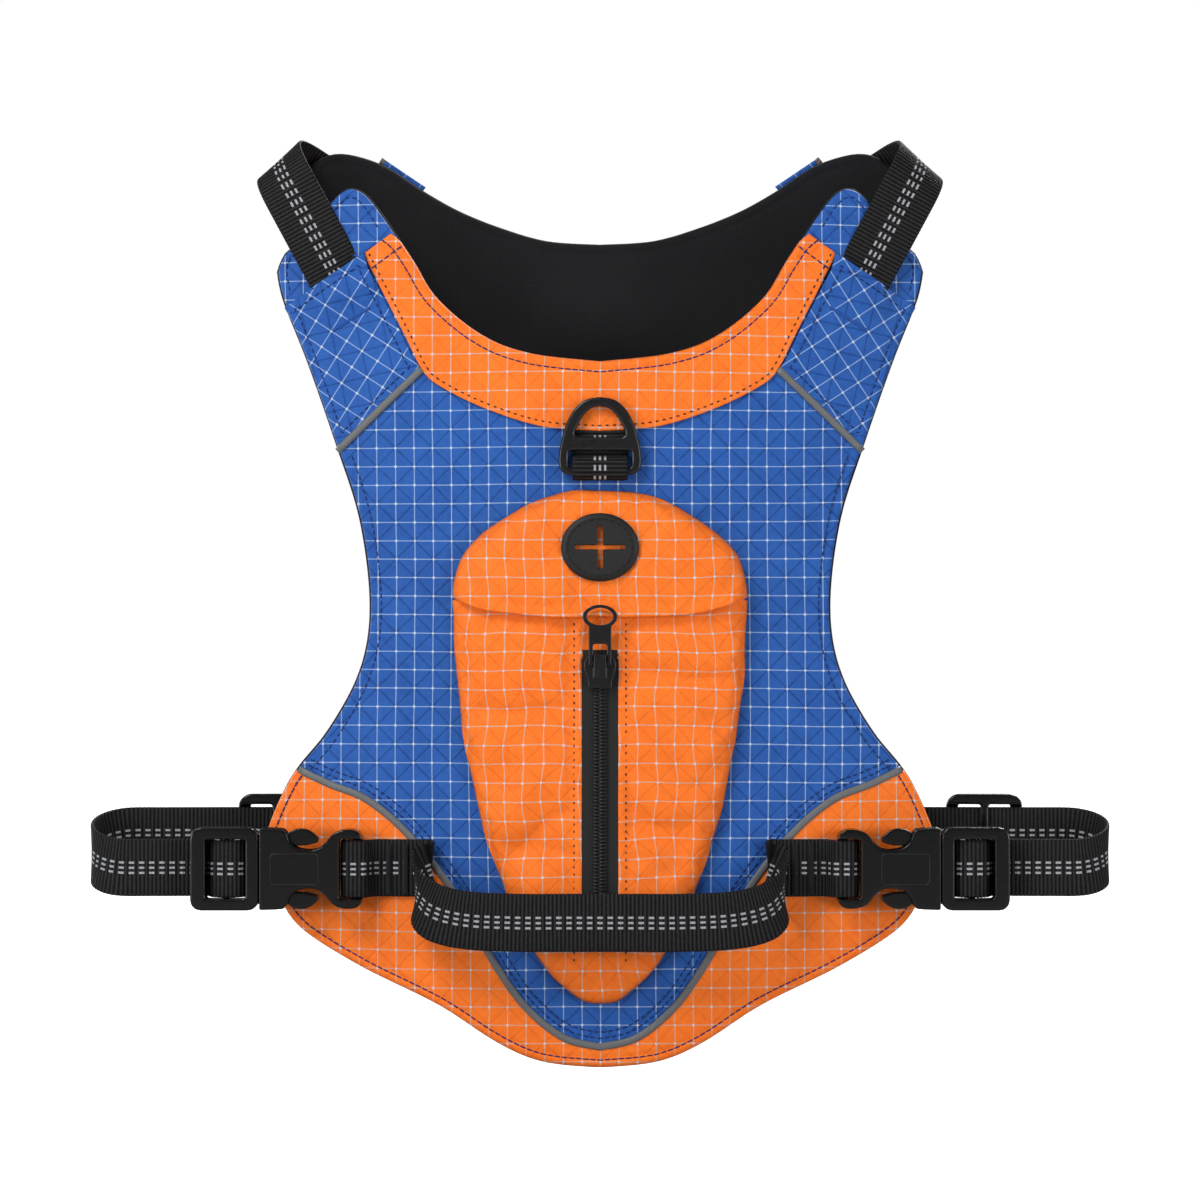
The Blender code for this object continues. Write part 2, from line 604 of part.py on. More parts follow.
def build_girth_strap(side):
    """The front piece goes with the buckle's male part, and the rear piece is sewn on."""
    name = side_name(side)
    path = [(154.8, -28.0), (157.0, -30.4), (161.0, -31.0), (165.6, -30.6), (168.6, -28.4),
            (169.3, -25.4), (171.0, -22.9), (175.0, -22.9), (190, -23.6), (LOOP_X, LOOP_FRONT_Y)]
    stations = [((side * u, y, BUCKLE_Z), (0, 0, 1)) for u, y in path]
    middle = (LOOP_FRONT_Y + LOOP_REAR_Y) / 2
    radius = (LOOP_REAR_Y - LOOP_FRONT_Y) / 2
    for i in range(1, 11):
        angle = math.pi * i / 10
        z = BUCKLE_Z + (REAR_STRAP_Z - BUCKLE_Z) * i / 10
        stations.append(((side * (LOOP_X + radius * math.sin(angle)),
                          middle - radius * math.cos(angle), z), (0, 0, 1)))
    ribbon("girth_strap_front_" + name, stations)

    offset = SHELL_TOP + GAP + WEBBING_THICK / 2 + 0.2
    rear = [(LOOP_X - 0.6, LOOP_REAR_Y), (124, 12.9)]
    rear += [(u, chest_y(u) + offset) for u in (114, 103, 92)]
    ribbon("girth_strap_rear_" + name, [((side * u, y, REAR_STRAP_Z), (0, 0, 1)) for u, y in rear])


def build_glide(name, centre, along, across, length=34.0, width=36.5):
    """A tri-glide: two outer bars in front of the webbing and a middle bar behind it."""
    along = Vector(along).normalized()
    across = Vector(across).normalized()
    normal = along.cross(across).normalized()
    if normal.y < 0:
        across = -across
        normal = -normal
    front = WEBBING_THICK / 2 + 0.45
    bm = prism_mesh(rounded_rect(-length / 2, length / 2, -width / 2, width / 2, 6.0),
                    -front - 1.5, front + 2.2)
    body = add_object(name, bm, BLACK, 0.4)
    turn = Matrix((along, normal, across)).transposed().to_4x4()
    body.matrix_world = Matrix.Translation(Vector(centre) * MM) @ turn
    inner = width / 2 - 4.6
    cuts = []
    for start in (-length / 2 + 5.5, 1.8):
        cuts.append(((start, -8, -inner), (start + length / 2 - 7.3, 8, inner)))
    cuts.append(((-length / 2 - 3, -8, -inner), (-length / 2 + 5.6, front, inner)))
    cuts.append(((length / 2 - 5.6, -8, -inner), (length / 2 + 3, front, inner)))
    cuts.append(((-3, -front, -inner), (3, 8, inner)))
    for i, (low, high) in enumerate(cuts):
        tool = box("%s_cutter_%d" % (name, i), low, high, BLACK)
        tool.matrix_world = body.matrix_world.copy()
        cut(body, tool)


# ---------------------------------------------------------------- chest panel

def build_chest_panel():
    panel("chest_lining", CHEST_PAD, PAD_TOP, PAD_TOP, BLACK, facing=1)
    panel("chest_shell", inset(CHEST_BODY, 1.0), SHELL_TOP, FABRIC, BLUE, facing=1)
    for side in (-1, 1):
        name = side_name(side)
        tab = [(92.0, 31.5)] + SIDE_TAB[1:-1] + [(92.0, -26.0)]
        panel("chest_side_tab_" + name, inset(sided(tab, side), 1.0), SHELL_TOP, FABRIC,
              ORANGE, facing=1)
        shoulder = [(82.5, 226.2)] + SHOULDER_TAB[1:-1] + [(53.5, 273.4)]
        panel("chest_shoulder_tab_" + name, inset(sided(shoulder, side), 1.0), SHELL_TOP, FABRIC,
              ORANGE, facing=1)
        low, high = PAD_TOP + GAP, SHELL_TOP + 0.4
        piping("chest_side_piping_" + name, sided([(90.3, 30.5), (90.3, 2), (90.3, -25.5)], side),
               low, high, GREY, facing=1)
        piping("chest_shoulder_piping_" + name,
               sided([(51.0, 270.6), (65.3, 248.6), (79.3, 226.8)], side), low, high, GREY, facing=1)


# ---------------------------------------------------------------- shoulder straps

def fold_stations(start, start_y, end_y, steps=10):
    """A flat strap wound half a turn over a slanting edge, from the back to the chest side."""
    crease_angle = (STRAP_RISE + STRAP_FALL) / 2
    crease = Vector((math.cos(crease_angle), 0, math.sin(crease_angle)))
    outwards = Vector((math.sin(crease_angle), 0, -math.cos(crease_angle)))
    heading = Vector((math.cos(STRAP_RISE), 0, math.sin(STRAP_RISE)))
    width = Vector((math.sin(STRAP_RISE), 0, -math.cos(STRAP_RISE)))
    radius = (end_y - start_y) / 2
    drift = math.pi * radius * heading.dot(crease) / heading.dot(outwards)
    stations = []
    for i in range(steps + 1):
        turn = math.pi * i / steps
        centre = (Vector((start[0], start_y + radius, start[1])) + crease * drift * i / steps
                  + outwards * radius * math.sin(turn) - Vector((0, radius * math.cos(turn), 0)))
        swung = outwards * math.cos(turn) + Vector((0, math.sin(turn), 0))
        stations.append((centre, crease * width.dot(crease) + swung * width.dot(outwards)))
    return stations


def shoulder_strap_stations():
    """The right shoulder strap, from under the patch to the chest panel."""
    x, z = SHOULDER_EXIT
    front = (x, back_y(x) - PATCH_TOP - 1.6, z)
    start_y = back_y(SHOULDER_FOLD[0]) - PATCH_TOP - 1.6
    width = (math.sin(STRAP_RISE), 0, -math.cos(STRAP_RISE))
    fold = fold_stations(SHOULDER_FOLD, start_y, SHOULDER_REAR_Y[0])
    end, across = fold[-1]
    down = Vector((math.cos(STRAP_FALL), 0, math.sin(STRAP_FALL)))
    far = end + down * SHOULDER_REAR_LENGTH
    far.y = SHOULDER_REAR_Y[1]
    return [(front, width)] + fold + [(far, across)]


def rear_line():
    """Start, direction and width direction of the strap's straight stretch on the chest."""
    stations = shoulder_strap_stations()
    start, across = stations[-2]
    return start, (stations[-1][0] - start).normalized(), across


def mirrored(vector, side):
    return Vector((vector[0] * side, vector[1], vector[2]))


def build_shoulder(side, glide_at, band_at):
    name = side_name(side)
    ribbon("shoulder_strap_" + name,
           [(mirrored(p, side), mirrored(w, side)) for p, w in shoulder_strap_stations()])
    start, along, across = rear_line()
    build_glide("shoulder_glide_" + name, mirrored(start + along * glide_at, side),
                mirrored(along, side), mirrored(across, side))
    centre = start + along * band_at
    if across.z < 0:
        across = -across
    arch = centre.y + WEBBING_THICK / 2 + 4.6
    stations = []
    for v in (-27, -24, -22, -19.5, -8, 8, 19.5, 21.5, 23):
        spot = centre + across * v
        rest = chest_y(spot.x) + SHELL_TOP + GAP + 0.7
        spot.y = arch if abs(v) < 20 else rest
        stations.append((mirrored(spot, side), mirrored(along, side)))
    ribbon("retainer_band_" + name, stations, width=20.0, thick=1.2, colour=BLUE)


# ---------------------------------------------------------------- the vest

clear_scene()
PARTS = make_collection("dog_harness_vest")
CUTTERS = make_collection("cutters")

build_back_panel()
build_pocket()
build_grommet()
build_zip()
build_leash_ring()
build_handle()
build_chest_panel()
GIRTH_GLIDE_X = {-1: 144.0, 1: 171.0}
for hand in (-1, 1):
    build_buckle(hand)
    build_girth_strap(hand)
    outwards = rear_strap_direction()
    spot = Vector((124.0, 12.9, REAR_STRAP_Z)) + outwards * (GIRTH_GLIDE_X[hand] - 124.0)
    build_glide("girth_glide_" + side_name(hand), mirrored(spot, hand),
                mirrored(outwards, hand), (0, 0, 1))
build_shoulder(1, glide_at=41.0, band_at=29.0)
build_shoulder(-1, glide_at=19.0, band_at=29.0)
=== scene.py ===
"""Looks of the dog harness vest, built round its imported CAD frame.

Lengths here are millimetres unless a name says otherwise; meshes are made in metres.
The back panel faces -Y, the chest panel +Y, the neck is at +Z.
"""

import math

import bpy
import numpy as np
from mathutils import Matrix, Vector, geometry


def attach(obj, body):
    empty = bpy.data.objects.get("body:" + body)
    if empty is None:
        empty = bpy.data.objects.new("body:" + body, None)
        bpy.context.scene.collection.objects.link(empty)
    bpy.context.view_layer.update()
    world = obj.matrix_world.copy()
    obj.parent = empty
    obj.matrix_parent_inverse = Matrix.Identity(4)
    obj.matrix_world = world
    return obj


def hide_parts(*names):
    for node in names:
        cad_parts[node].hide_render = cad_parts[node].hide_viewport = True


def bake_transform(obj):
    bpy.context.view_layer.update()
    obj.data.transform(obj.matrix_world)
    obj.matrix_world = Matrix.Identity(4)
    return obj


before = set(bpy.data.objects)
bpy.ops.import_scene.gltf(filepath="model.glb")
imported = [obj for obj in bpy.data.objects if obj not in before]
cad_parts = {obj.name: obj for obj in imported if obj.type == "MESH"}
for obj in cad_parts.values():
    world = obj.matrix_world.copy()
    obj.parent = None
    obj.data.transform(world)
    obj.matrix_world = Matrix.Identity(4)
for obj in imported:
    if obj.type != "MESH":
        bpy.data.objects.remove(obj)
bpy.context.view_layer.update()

MM = 0.001
SIDES = {"left": -1, "right": 1}

# ------------------------------------------------------------------ sizes

BACK_MIDDLE, BACK_BOW, BACK_REACH = -22.0, 16.0, 148.0
CHEST_MIDDLE, CHEST_BOW, CHEST_REACH = 16.0, -6.0, 90.0

SIM_SCALE = 10.0           # cloth is simulated enlarged, which keeps it stable
SIM_FRAMES = 20
CLOTH_GROWTH = 0.03        # how much the cloth is cut larger than its seams
CLOTH_REACH = 1.6          # the furthest that a point settles
CLOTH_STEP = 0.65          # how much higher each further layer of cloth lies
PAD_EDGE = 2.5             # height of the panels' outermost edge
WEB_WIDTH = 25.0
WEB_HALF = 0.8             # half the webbing's thickness, at the top of a rib
RIB = 1.75                 # rib spacing along the webbing
DASH_ROW, DASH_PITCH = 2.24, 4.4  # spacing of the reflective dashes, across and along
GRID_PITCH = 8.1           # ripstop squares
SEAM_INSET = 4.4           # stitch line from a sewn edge
STITCH_PITCH = 3.1
STITCH_LENGTH = 2.1
LONG_STITCH = 2.7
STITCH_RADIUS = 0.34
PIPING_WIDTH, PIPING_RISE = 3.2, 0.9
AMBIENT = 0.18             # strength of the even light from all round
LAYER_TRIM = 0.35          # how far a cloth layer's edge lies inside its drawn outline

BUCKLE_Z = -13.0
BUCKLE_FACE_Y = -34.5
REAR_STRAP_Z = -1.0
LOOP_X, LOOP_FRONT_Y, LOOP_REAR_Y = 206.0, -24.0, 9.6
GIRTH_SEAM = (124.0, 12.9)  # x and y where the girth strap leaves the side tab

STRAP_RISE = math.radians(61.5)
STRAP_FALL = math.radians(213.5)
SHOULDER_FOLD = (134.0, 280.0)
SHOULDER_REAR_Y = (16.6, 24.2)
SHOULDER_REAR_LENGTH = 68.0
SHOULDER_TACK = (108.5, 226.0)
RETAINER_AT = 29.0         # from the start of the shoulder strap's stretch on the chest

RING_AXIS_Z = 159.2
RING_OFFSET = 10.7
SKIN_TOP = 14.9
HOOD_LIFT = 2.6
GROMMET = (0.0, 126.2)
ZIP_TOP, ZIP_BOTTOM = 82.0, -40.0
ZIP_HALF = 8.0             # half the zip's opening
POCKET_RINGS = (0.8, 1.8, 3.2, 5.0)

GIRTH_GLIDE_X = {"left": 144.0, "right": 171.0}
SHOULDER_GLIDE_AT = {"left": 19.0, "right": 41.0}
RETAINER_BOW = {"left": 0.8, "right": 3.0}
RETAINER_HALF = 10.5

THREADS = {
    "blue_thread": (0.004, 0.018, 0.095),
    "violet_thread": (0.007, 0.010, 0.075),
    "bright_thread": (0.010, 0.060, 0.250),
    "black_thread": (0.006, 0.006, 0.008),
}


# ------------------------------------------------------------------ flat shapes

def smooth(points, steps=5):
    """A soft curve through the points (Catmull-Rom), open at its ends."""
    pts = [np.array(p, float) for p in points]
    last = len(pts) - 1
    result = []
    for i in range(last):
        p0, p1, p2, p3 = pts[max(i - 1, 0)], pts[i], pts[i + 1], pts[min(i + 2, last)]
        for k in range(steps):
            t = k / steps
            result.append(0.5 * (2 * p1 + (p2 - p0) * t + (2 * p0 - 5 * p1 + 4 * p2 - p3) * t * t
                                 + (3 * p1 - p0 - 3 * p2 + p3) * t ** 3))
    result.append(pts[-1])
    return [tuple(p) for p in result]


def unit(vectors):
    """Rows scaled to a length of one."""
    return vectors / np.maximum(np.linalg.norm(vectors, axis=1), 1e-9)[:, None]


def round_trip(points):
    """The heading of a closed line at each of its points."""
    return np.roll(points, -1, axis=0) - np.roll(points, 1, axis=0)


def flipped(points):
    """The mirror image on the other side, in the opposite order."""
    return [(-x, z) for x, z in reversed(points)]


def closed(half):
    """Close a right half, which starts and ends on the centre line, with its mirror image."""
    return half + flipped(half)[1:-1]


def sided(points, side):
    """Flat points on the right (1) or, mirrored, on the left (-1)."""
    return [(x * side, z) for x, z in points]


def spaced(points, step, loop=True):
    """Points at an even spacing along an outline; sharp corners of a loop are kept."""
    pts = np.array(list(points) + ([points[0]] if loop else []), float)
    seg = np.linalg.norm(np.diff(pts, axis=0), axis=1)
    keep = np.append(seg > 1e-6, True)
    pts = pts[keep]
    seg = np.linalg.norm(np.diff(pts, axis=0), axis=1)
    where = np.concatenate([[0], np.cumsum(seg)])
    count = max(2, int(round(where[-1] / step)))
    at = np.linspace(0, where[-1], count + 1)
    result = np.column_stack([np.interp(at, where, pts[:, k]) for k in range(pts.shape[1])])
    if loop:
        heading = np.diff(pts, axis=0) / seg[:, None]
        for i in range(len(heading)):
            if heading[i - 1].dot(heading[i]) < 0.85:
                nearest = np.argmin(np.linalg.norm(result - pts[i], axis=1))
                result[nearest] = pts[i]
        result = result[:-1]
    return result


def wavy(points, size):
    """An outline with the small waves of a hand-sewn edge."""
    pts = np.array(points, float)
    ahead = unit(round_trip(pts))
    x, z = pts[:, 0], pts[:, 1]
    wave = np.sin(x / 4.7 + z / 5.3) + np.sin(x / 8.1 - z / 9.3 + 1.0)
    return pts + np.column_stack([-ahead[:, 1], ahead[:, 0]]) * (size * 0.6 * wave)[:, None]


def area_of(points):
    """Area of an outline, positive when it runs anticlockwise."""
    x, z = np.array(points)[:, 0], np.array(points)[:, 1]
    return 0.5 * float(np.sum(x * np.roll(z, -1) - np.roll(x, -1) * z))


def distance_to(points, outline, loop=True):
    """Distance from each point to the nearest side of an outline."""
    points = np.asarray(points, float)
    a = np.asarray(outline, float)
    b = np.roll(a, -1, axis=0)
    if not loop:
        a, b = a[:-1], b[:-1]
    best = np.full(len(points), 1e9)
    for start, end in zip(a, b):
        side = end - start
        size = max(side.dot(side), 1e-9)
        t = np.clip((points - start) @ side / size, 0, 1)
        best = np.minimum(best, np.linalg.norm(points - start - t[:, None] * side, axis=1))
    return best


def inside(points, outline):
    """Which points lie inside a closed outline."""
    points = np.asarray(points, float)
    hit = np.zeros(len(points), bool)
    a = np.asarray(outline, float)
    b = np.roll(a, -1, axis=0)
    for (x0, z0), (x1, z1) in zip(a, b):
        if z0 == z1:
            continue
        spans = (z0 > points[:, 1]) != (z1 > points[:, 1])
        cross = points[:, 0] < (x1 - x0) * (points[:, 1] - z0) / (z1 - z0) + x0
        hit ^= spans & cross
    return hit


def inset(points, distance):
    """Move a closed outline inwards, and drop the points that come too near another side."""
    pts = np.array(points, float)
    if area_of(pts) < 0:
        pts = pts[::-1]
    before = pts - np.roll(pts, 1, axis=0)
    after = np.roll(pts, -1, axis=0) - pts
    n0 = unit(np.column_stack([-before[:, 1], before[:, 0]]))
    n1 = unit(np.column_stack([-after[:, 1], after[:, 0]]))
    mid = unit(n0 + n1)
    reach = distance / np.maximum(np.sum(mid * n0, axis=1), 0.5)
    moved = pts + mid * reach[:, None]
    good = distance_to(moved, pts) > distance * 0.93
    return moved[good]


def staggered(edge, grid, limit):
    """A staggered grid of points that lie further than a limit inside an edge."""
    low, high = edge.min(axis=0), edge.max(axis=0)
    rows = []
    for i, z in enumerate(np.arange(low[1], high[1], grid * 0.87)):
        xs = np.arange(low[0] + (i % 2) * grid / 2, high[0], grid)
        rows.append(np.column_stack([xs, np.full(len(xs), z)]))
    spots = np.concatenate(rows)
    spots = spots[inside(spots, edge)]
    return spots[distance_to(spots, edge) > limit]


def loop_sides(first, count):
    return [(first + i, first + (i + 1) % count) for i in range(count)]


def fill(outline, rings, grid, edge_step, hole=None):
    """Triangles over an outline: rings of points near the edge, a staggered grid inside."""
    edge = spaced(outline, edge_step)
    if area_of(edge) < 0:
        edge = edge[::-1]
    groups = [edge] + [inset(edge, ring) for ring in rings]
    spots = staggered(edge, grid, rings[-1] + grid * 0.55)
    sides = loop_sides(0, len(edge))
    if hole is not None:
        rim = spaced(hole, edge_step)
        spots = spots[~inside(spots, rim) & (distance_to(spots, rim) > 1.2)]
        groups.insert(1, rim)
        sides += loop_sides(len(edge), len(rim))
    points = np.concatenate(groups + [spots])
    flat = geometry.delaunay_2d_cdt([Vector(p) for p in points], sides, [], 1, 1e-4)
    xz = np.array([tuple(p) for p in flat[0]])
    faces = np.array([tuple(f) for f in flat[2]])
    if hole is not None:
        faces = faces[~inside(xz[faces].mean(axis=1), rim)]
    return xz, [tuple(f) for f in faces.tolist()]


def tube_faces(rings, size, turned_in=False):
    """Faces of a row of equal rings of points, with a cap at each end."""
    faces = []
    for i in range(rings - 1):
        for k in range(size):
            a, b = i * size + k, i * size + (k + 1) % size
            faces.append((a, a + size, b + size, b) if turned_in else (a, b, b + size, a + size))
    first, last = range(size), range((rings - 1) * size, rings * size)
    if turned_in:
        return faces + [tuple(first), tuple(reversed(last))]
    return faces + [tuple(reversed(first)), tuple(last)]


# ------------------------------------------------------------------ surfaces

def back_y(x):
    """Depth of the back panel's inner side, which bows round the wearer."""
    return BACK_MIDDLE + BACK_BOW * (x / BACK_REACH) ** 2


def chest_y(x):
    """Depth of the chest panel's inner side."""
    return CHEST_MIDDLE + CHEST_BOW * (x / CHEST_REACH) ** 2


def base_y(x, facing):
    """Depth of the panel that faces backwards (-1) or forwards (1)."""
    return back_y(x) if facing < 0 else chest_y(x)


def on_panel(x, z, facing, height):
    """Points at a height over a panel."""
    return np.column_stack([x, base_y(x, facing) + facing * height, z])


def laid(spots, height, facing, lift=0.0):
    """Flat points laid on a surface, whose height is a function of x and z."""
    x, z = spots[:, 0], spots[:, 1]
    return on_panel(x, z, facing, height(x, z) + lift)


def level(height):
    """A surface at one height, as a function of x and z."""
    return lambda x, z: np.full(np.shape(x), height)


def roll_over(d, radius):
    """0 at an edge, 1 beyond the radius, as a quarter circle."""
    t = np.clip(1 - d / radius, 0, 1)
    return np.sqrt(np.maximum(1 - t * t, 0))


def ease(t):
    """0 to 1 with a soft start and end."""
    t = np.clip(t, 0, 1)
    return t * t * (3 - 2 * t)


def groove(d, at, width, depth):
    """The dip that a row of stitches pulls into the cloth."""
    return -depth * np.exp(-((d - at) / width) ** 2)


def ripple(x, z, scale=1.0, seed=0.0):
    """Slow, uneven waves of hand-laid cloth, about -1 to 1."""
    x, z = x / scale, z / scale
    return (0.45 * np.sin(x / 17 + 1.7 * np.sin(z / 31 + seed) + seed)
            + 0.35 * np.sin(z / 13 + 1.3 * np.sin(x / 23 - seed) + 2.1 * seed)
            + 0.2 * np.sin((x + z) / 7.3 + 3 * seed) * np.sin((x - z) / 9.1))


def puckers(x, z, d):
    """Short folds across a seam, which die out within a centimetre of it."""
    near = np.exp(-((d - SEAM_INSET - 1.5) / 4.5) ** 2) * ease(d / 2)
    return near * np.sin((x * 0.9 + z * 0.7) / 1.7 + 2.2 * np.sin(x / 19) + 1.4 * np.sin(z / 27))


def back_height(x, z):
    """Height of the blue shell over the back panel's inner side."""
    d = distance_to(np.column_stack([x, z]), BACK_OUTLINE)
    return (PAD_EDGE + 3.5 * roll_over(d, 2.8) + groove(d, SEAM_INSET, 0.9, 0.55)
            + 0.2 * puckers(x, z, d) + 0.9 * ease((d - SEAM_INSET) / 26) + 0.42 * ripple(x, z))


def over_shell(x, z):
    """One layer of cloth over the back's blue shell."""
    return back_height(x, z) + CLOTH_STEP


def over_wings(x, z):
    """Two layers of cloth over the back's blue shell."""
    return back_height(x, z) + 2 * CLOTH_STEP


def over_strap(x, z):
    """The shoulder patch rises over the strap that comes out from under it."""
    gone_x, gone_z = np.abs(x) - SHOULDER_FOLD[0], z - SHOULDER_FOLD[1]
    along = gone_x * math.cos(STRAP_RISE) + gone_z * math.sin(STRAP_RISE)
    across = gone_x * math.sin(STRAP_RISE) - gone_z * math.cos(STRAP_RISE)
    return over_shell(x, z) + 2.7 * ease((17.5 - np.abs(across)) / 4) * ease((along + 60) / 13)


def chest_height(x, z):
    """Height of the cloth over the chest panel's inner side."""
    d = distance_to(np.column_stack([x, z]), CHEST_OUTLINE)
    return (PAD_EDGE + 3.3 * roll_over(d, 2.6) + groove(d, SEAM_INSET, 0.9, 0.5)
            + 0.2 * puckers(x, z, d) + 0.7 * ease((d - SEAM_INSET) / 26) + 0.36 * ripple(x, z, seed=1.3))


# ------------------------------------------------------------------ outlines

NECKLINE = smooth([(0, 207.5), (30, 211), (51, 219), (70.6, 235), (81, 251.5), (94, 271)])
SHOULDER_TIP = smooth([(94, 271), (102, 281), (109.5, 284), (117, 279), (127, 266), (139, 255)])
BACK_SIDE = smooth([(142, 248), (139.3, 235), (128.5, 208), (115.3, 170.4), (105.1, 138),
                    (100.7, 101), (105.1, 73), (119, 47), (136.6, 24.3), (148.5, -6.8),
                    (141, -27)])
BACK_HEM = smooth([(141, -27), (131, -40.6), (104.4, -56.8), (70.6, -73), (45, -89.2),
                   (25, -97.5), (0, -100)])
BACK_OUTLINE = spaced(closed(NECKLINE + SHOULDER_TIP[1:] + BACK_SIDE + BACK_HEM[1:]), 4.0)

YOKE_OUTER = smooth([(0, 176.5), (25.4, 178.5), (50.7, 186.6), (70.2, 196.4), (77.6, 203.4),
                     (86.0, 220), (94.8, 237.2), (103.6, 254.4)])
YOKE_END = [p for p in NECKLINE if p[1] < 261] + [(91.0, 263.5)]
WING_EDGE = smooth([(132.0, 29.5), (118, 23.0), (101, 16.2), (82, 0), (62, -26), (46, -54),
                    (32.5, -73), (16, -86.5), (0, -90.5)])
SHOULDER_SEAM = [(114.8, 168.5), (96, 186.5), (77.5, 204.0)]

POCKET_SIDE = smooth([(0, 151.2), (14.5, 150.4), (27.7, 146.4), (43.6, 138), (54, 129.8),
                      (60.5, 121.7), (63.9, 108), (63.9, 97.3), (61.9, 65), (57.1, 32.4),
                      (51.7, 8.1), (45.0, -12), (36, -37), (23.3, -57), (16, -64.4), (8, -70.2),
                      (3, -71.6), (0, -71.8)])
POCKET_OUTLINE = spaced(closed(POCKET_SIDE), 3.0)
FOLD_LINE = smooth([(0, 96.5), (27, 96.5), (50, 99.5), (66, 105.5)])
FOLD_FULL = flipped(FOLD_LINE) + FOLD_LINE[1:]

CHEST_TOP = smooth([(0, 262.3), (25, 264), (49, 271.2)])
CHEST_WAIST = smooth([(78, 224.0), (65.6, 208.9), (53.1, 192.7), (42.9, 168.3), (37.2, 127.8),
                      (38.9, 100), (46, 71), (63.2, 46.6), (87.5, 31.8)])
SIDE_TAB_EDGE = smooth([(89.5, 32.2), (104, 32), (112, 30.5), (120, 23), (121.3, 3), (120, -17),
                        (112, -25.2), (89.3, -27)])
SHOULDER_TAB_EDGE = smooth([(50, 271.6), (64, 277.5), (79.1, 286), (97.3, 297.4), (117, 301.8),
                            (129, 295), (138, 281), (140.8, 271), (137.5, 263), (125.7, 254.5),
                            (105.5, 241.3), (79, 224.6)])
CHEST_HEM = smooth([(89.2, -27), (70, -29.8), (35, -31.8), (0, -32.4)])
CHEST_BODY = closed(CHEST_TOP + CHEST_WAIST + [(89.2, 31.0), (89.3, 5), (89.2, -27)]
                    + CHEST_HEM[1:])
CHEST_OUTLINE = spaced(closed(CHEST_TOP[:-1] + SHOULDER_TAB_EDGE + CHEST_WAIST[1:-1]
                              + SIDE_TAB_EDGE + CHEST_HEM[1:]), 4.0)


# ------------------------------------------------------------------ materials

MATERIALS = {}


class Graph:
    """A small helper for wiring a material's nodes."""

    def __init__(self, name):
        self.mat = MATERIALS[name] = bpy.data.materials.new(name)
        self.mat.use_nodes = True
        self.tree = self.mat.node_tree
        self.shader = self.tree.nodes["Principled BSDF"]

    def node(self, kind, **settings):
        """A new node with its settings."""
        made = self.tree.nodes.new(kind)
        for key, value in settings.items():
            setattr(made, key, value)
        return made

    def put(self, socket, value):
        """Link a socket, or set its number or colour."""
        if isinstance(value, bpy.types.NodeSocket):
            self.tree.links.new(value, socket)
        elif socket.type == "RGBA" and len(value) == 3:
            socket.default_value = (*value, 1.0)
        else:
            socket.default_value = value

    def math(self, operation, *values, clamp=False):
        made = self.node("ShaderNodeMath", operation=operation, use_clamp=clamp)
        for socket, value in zip(made.inputs, values):
            self.put(socket, value)
        return made.outputs[0]

    def line(self, coordinate, half_width, softness):
        """1 on the whole numbers of a coordinate, falling to 0 beside them."""
        off = self.math("PINGPONG", coordinate, 0.5)
        made = self.node("ShaderNodeMapRange", interpolation_type="SMOOTHSTEP")
        self.put(made.inputs["Value"], off)
        self.put(made.inputs["From Min"], half_width + softness)
        self.put(made.inputs["From Max"], half_width)
        return made.outputs["Result"]

    def mix(self, factor, a, b):
        made = self.node("ShaderNodeMix", data_type="RGBA")
        self.put(made.inputs[0], factor)
        self.put(made.inputs[6], a)
        self.put(made.inputs[7], b)
        return made.outputs[2]

    def cloth_axes(self):
        """The two pattern coordinates of a cloth, in metres."""
        uv = self.node("ShaderNodeUVMap")
        axes = self.node("ShaderNodeSeparateXYZ")
        self.tree.links.new(uv.outputs["UV"], axes.inputs[0])
        return axes.outputs[0], axes.outputs[1]

    def noise(self, scale, detail=3.0):
        place = self.node("ShaderNodeTexCoord")
        made = self.node("ShaderNodeTexNoise")
        made.inputs["Scale"].default_value = scale
        made.inputs["Detail"].default_value = detail
        self.tree.links.new(place.outputs["Object"], made.inputs["Vector"])
        return made.outputs["Fac"]

    def bump(self, height, strength, distance):
        made = self.node("ShaderNodeBump")
        made.inputs["Strength"].default_value = strength
        made.inputs["Distance"].default_value = distance
        self.put(made.inputs["Height"], height)
        self.tree.links.new(made.outputs["Normal"], self.shader.inputs["Normal"])

    def finish(self, colour, roughness, metallic=0.0, gloss=0.25):
        self.put(self.shader.inputs["Base Color"], colour)
        self.put(self.shader.inputs["Roughness"], roughness)
        self.put(self.shader.inputs["Metallic"], metallic)
        self.shader.inputs["Specular IOR Level"].default_value = gloss


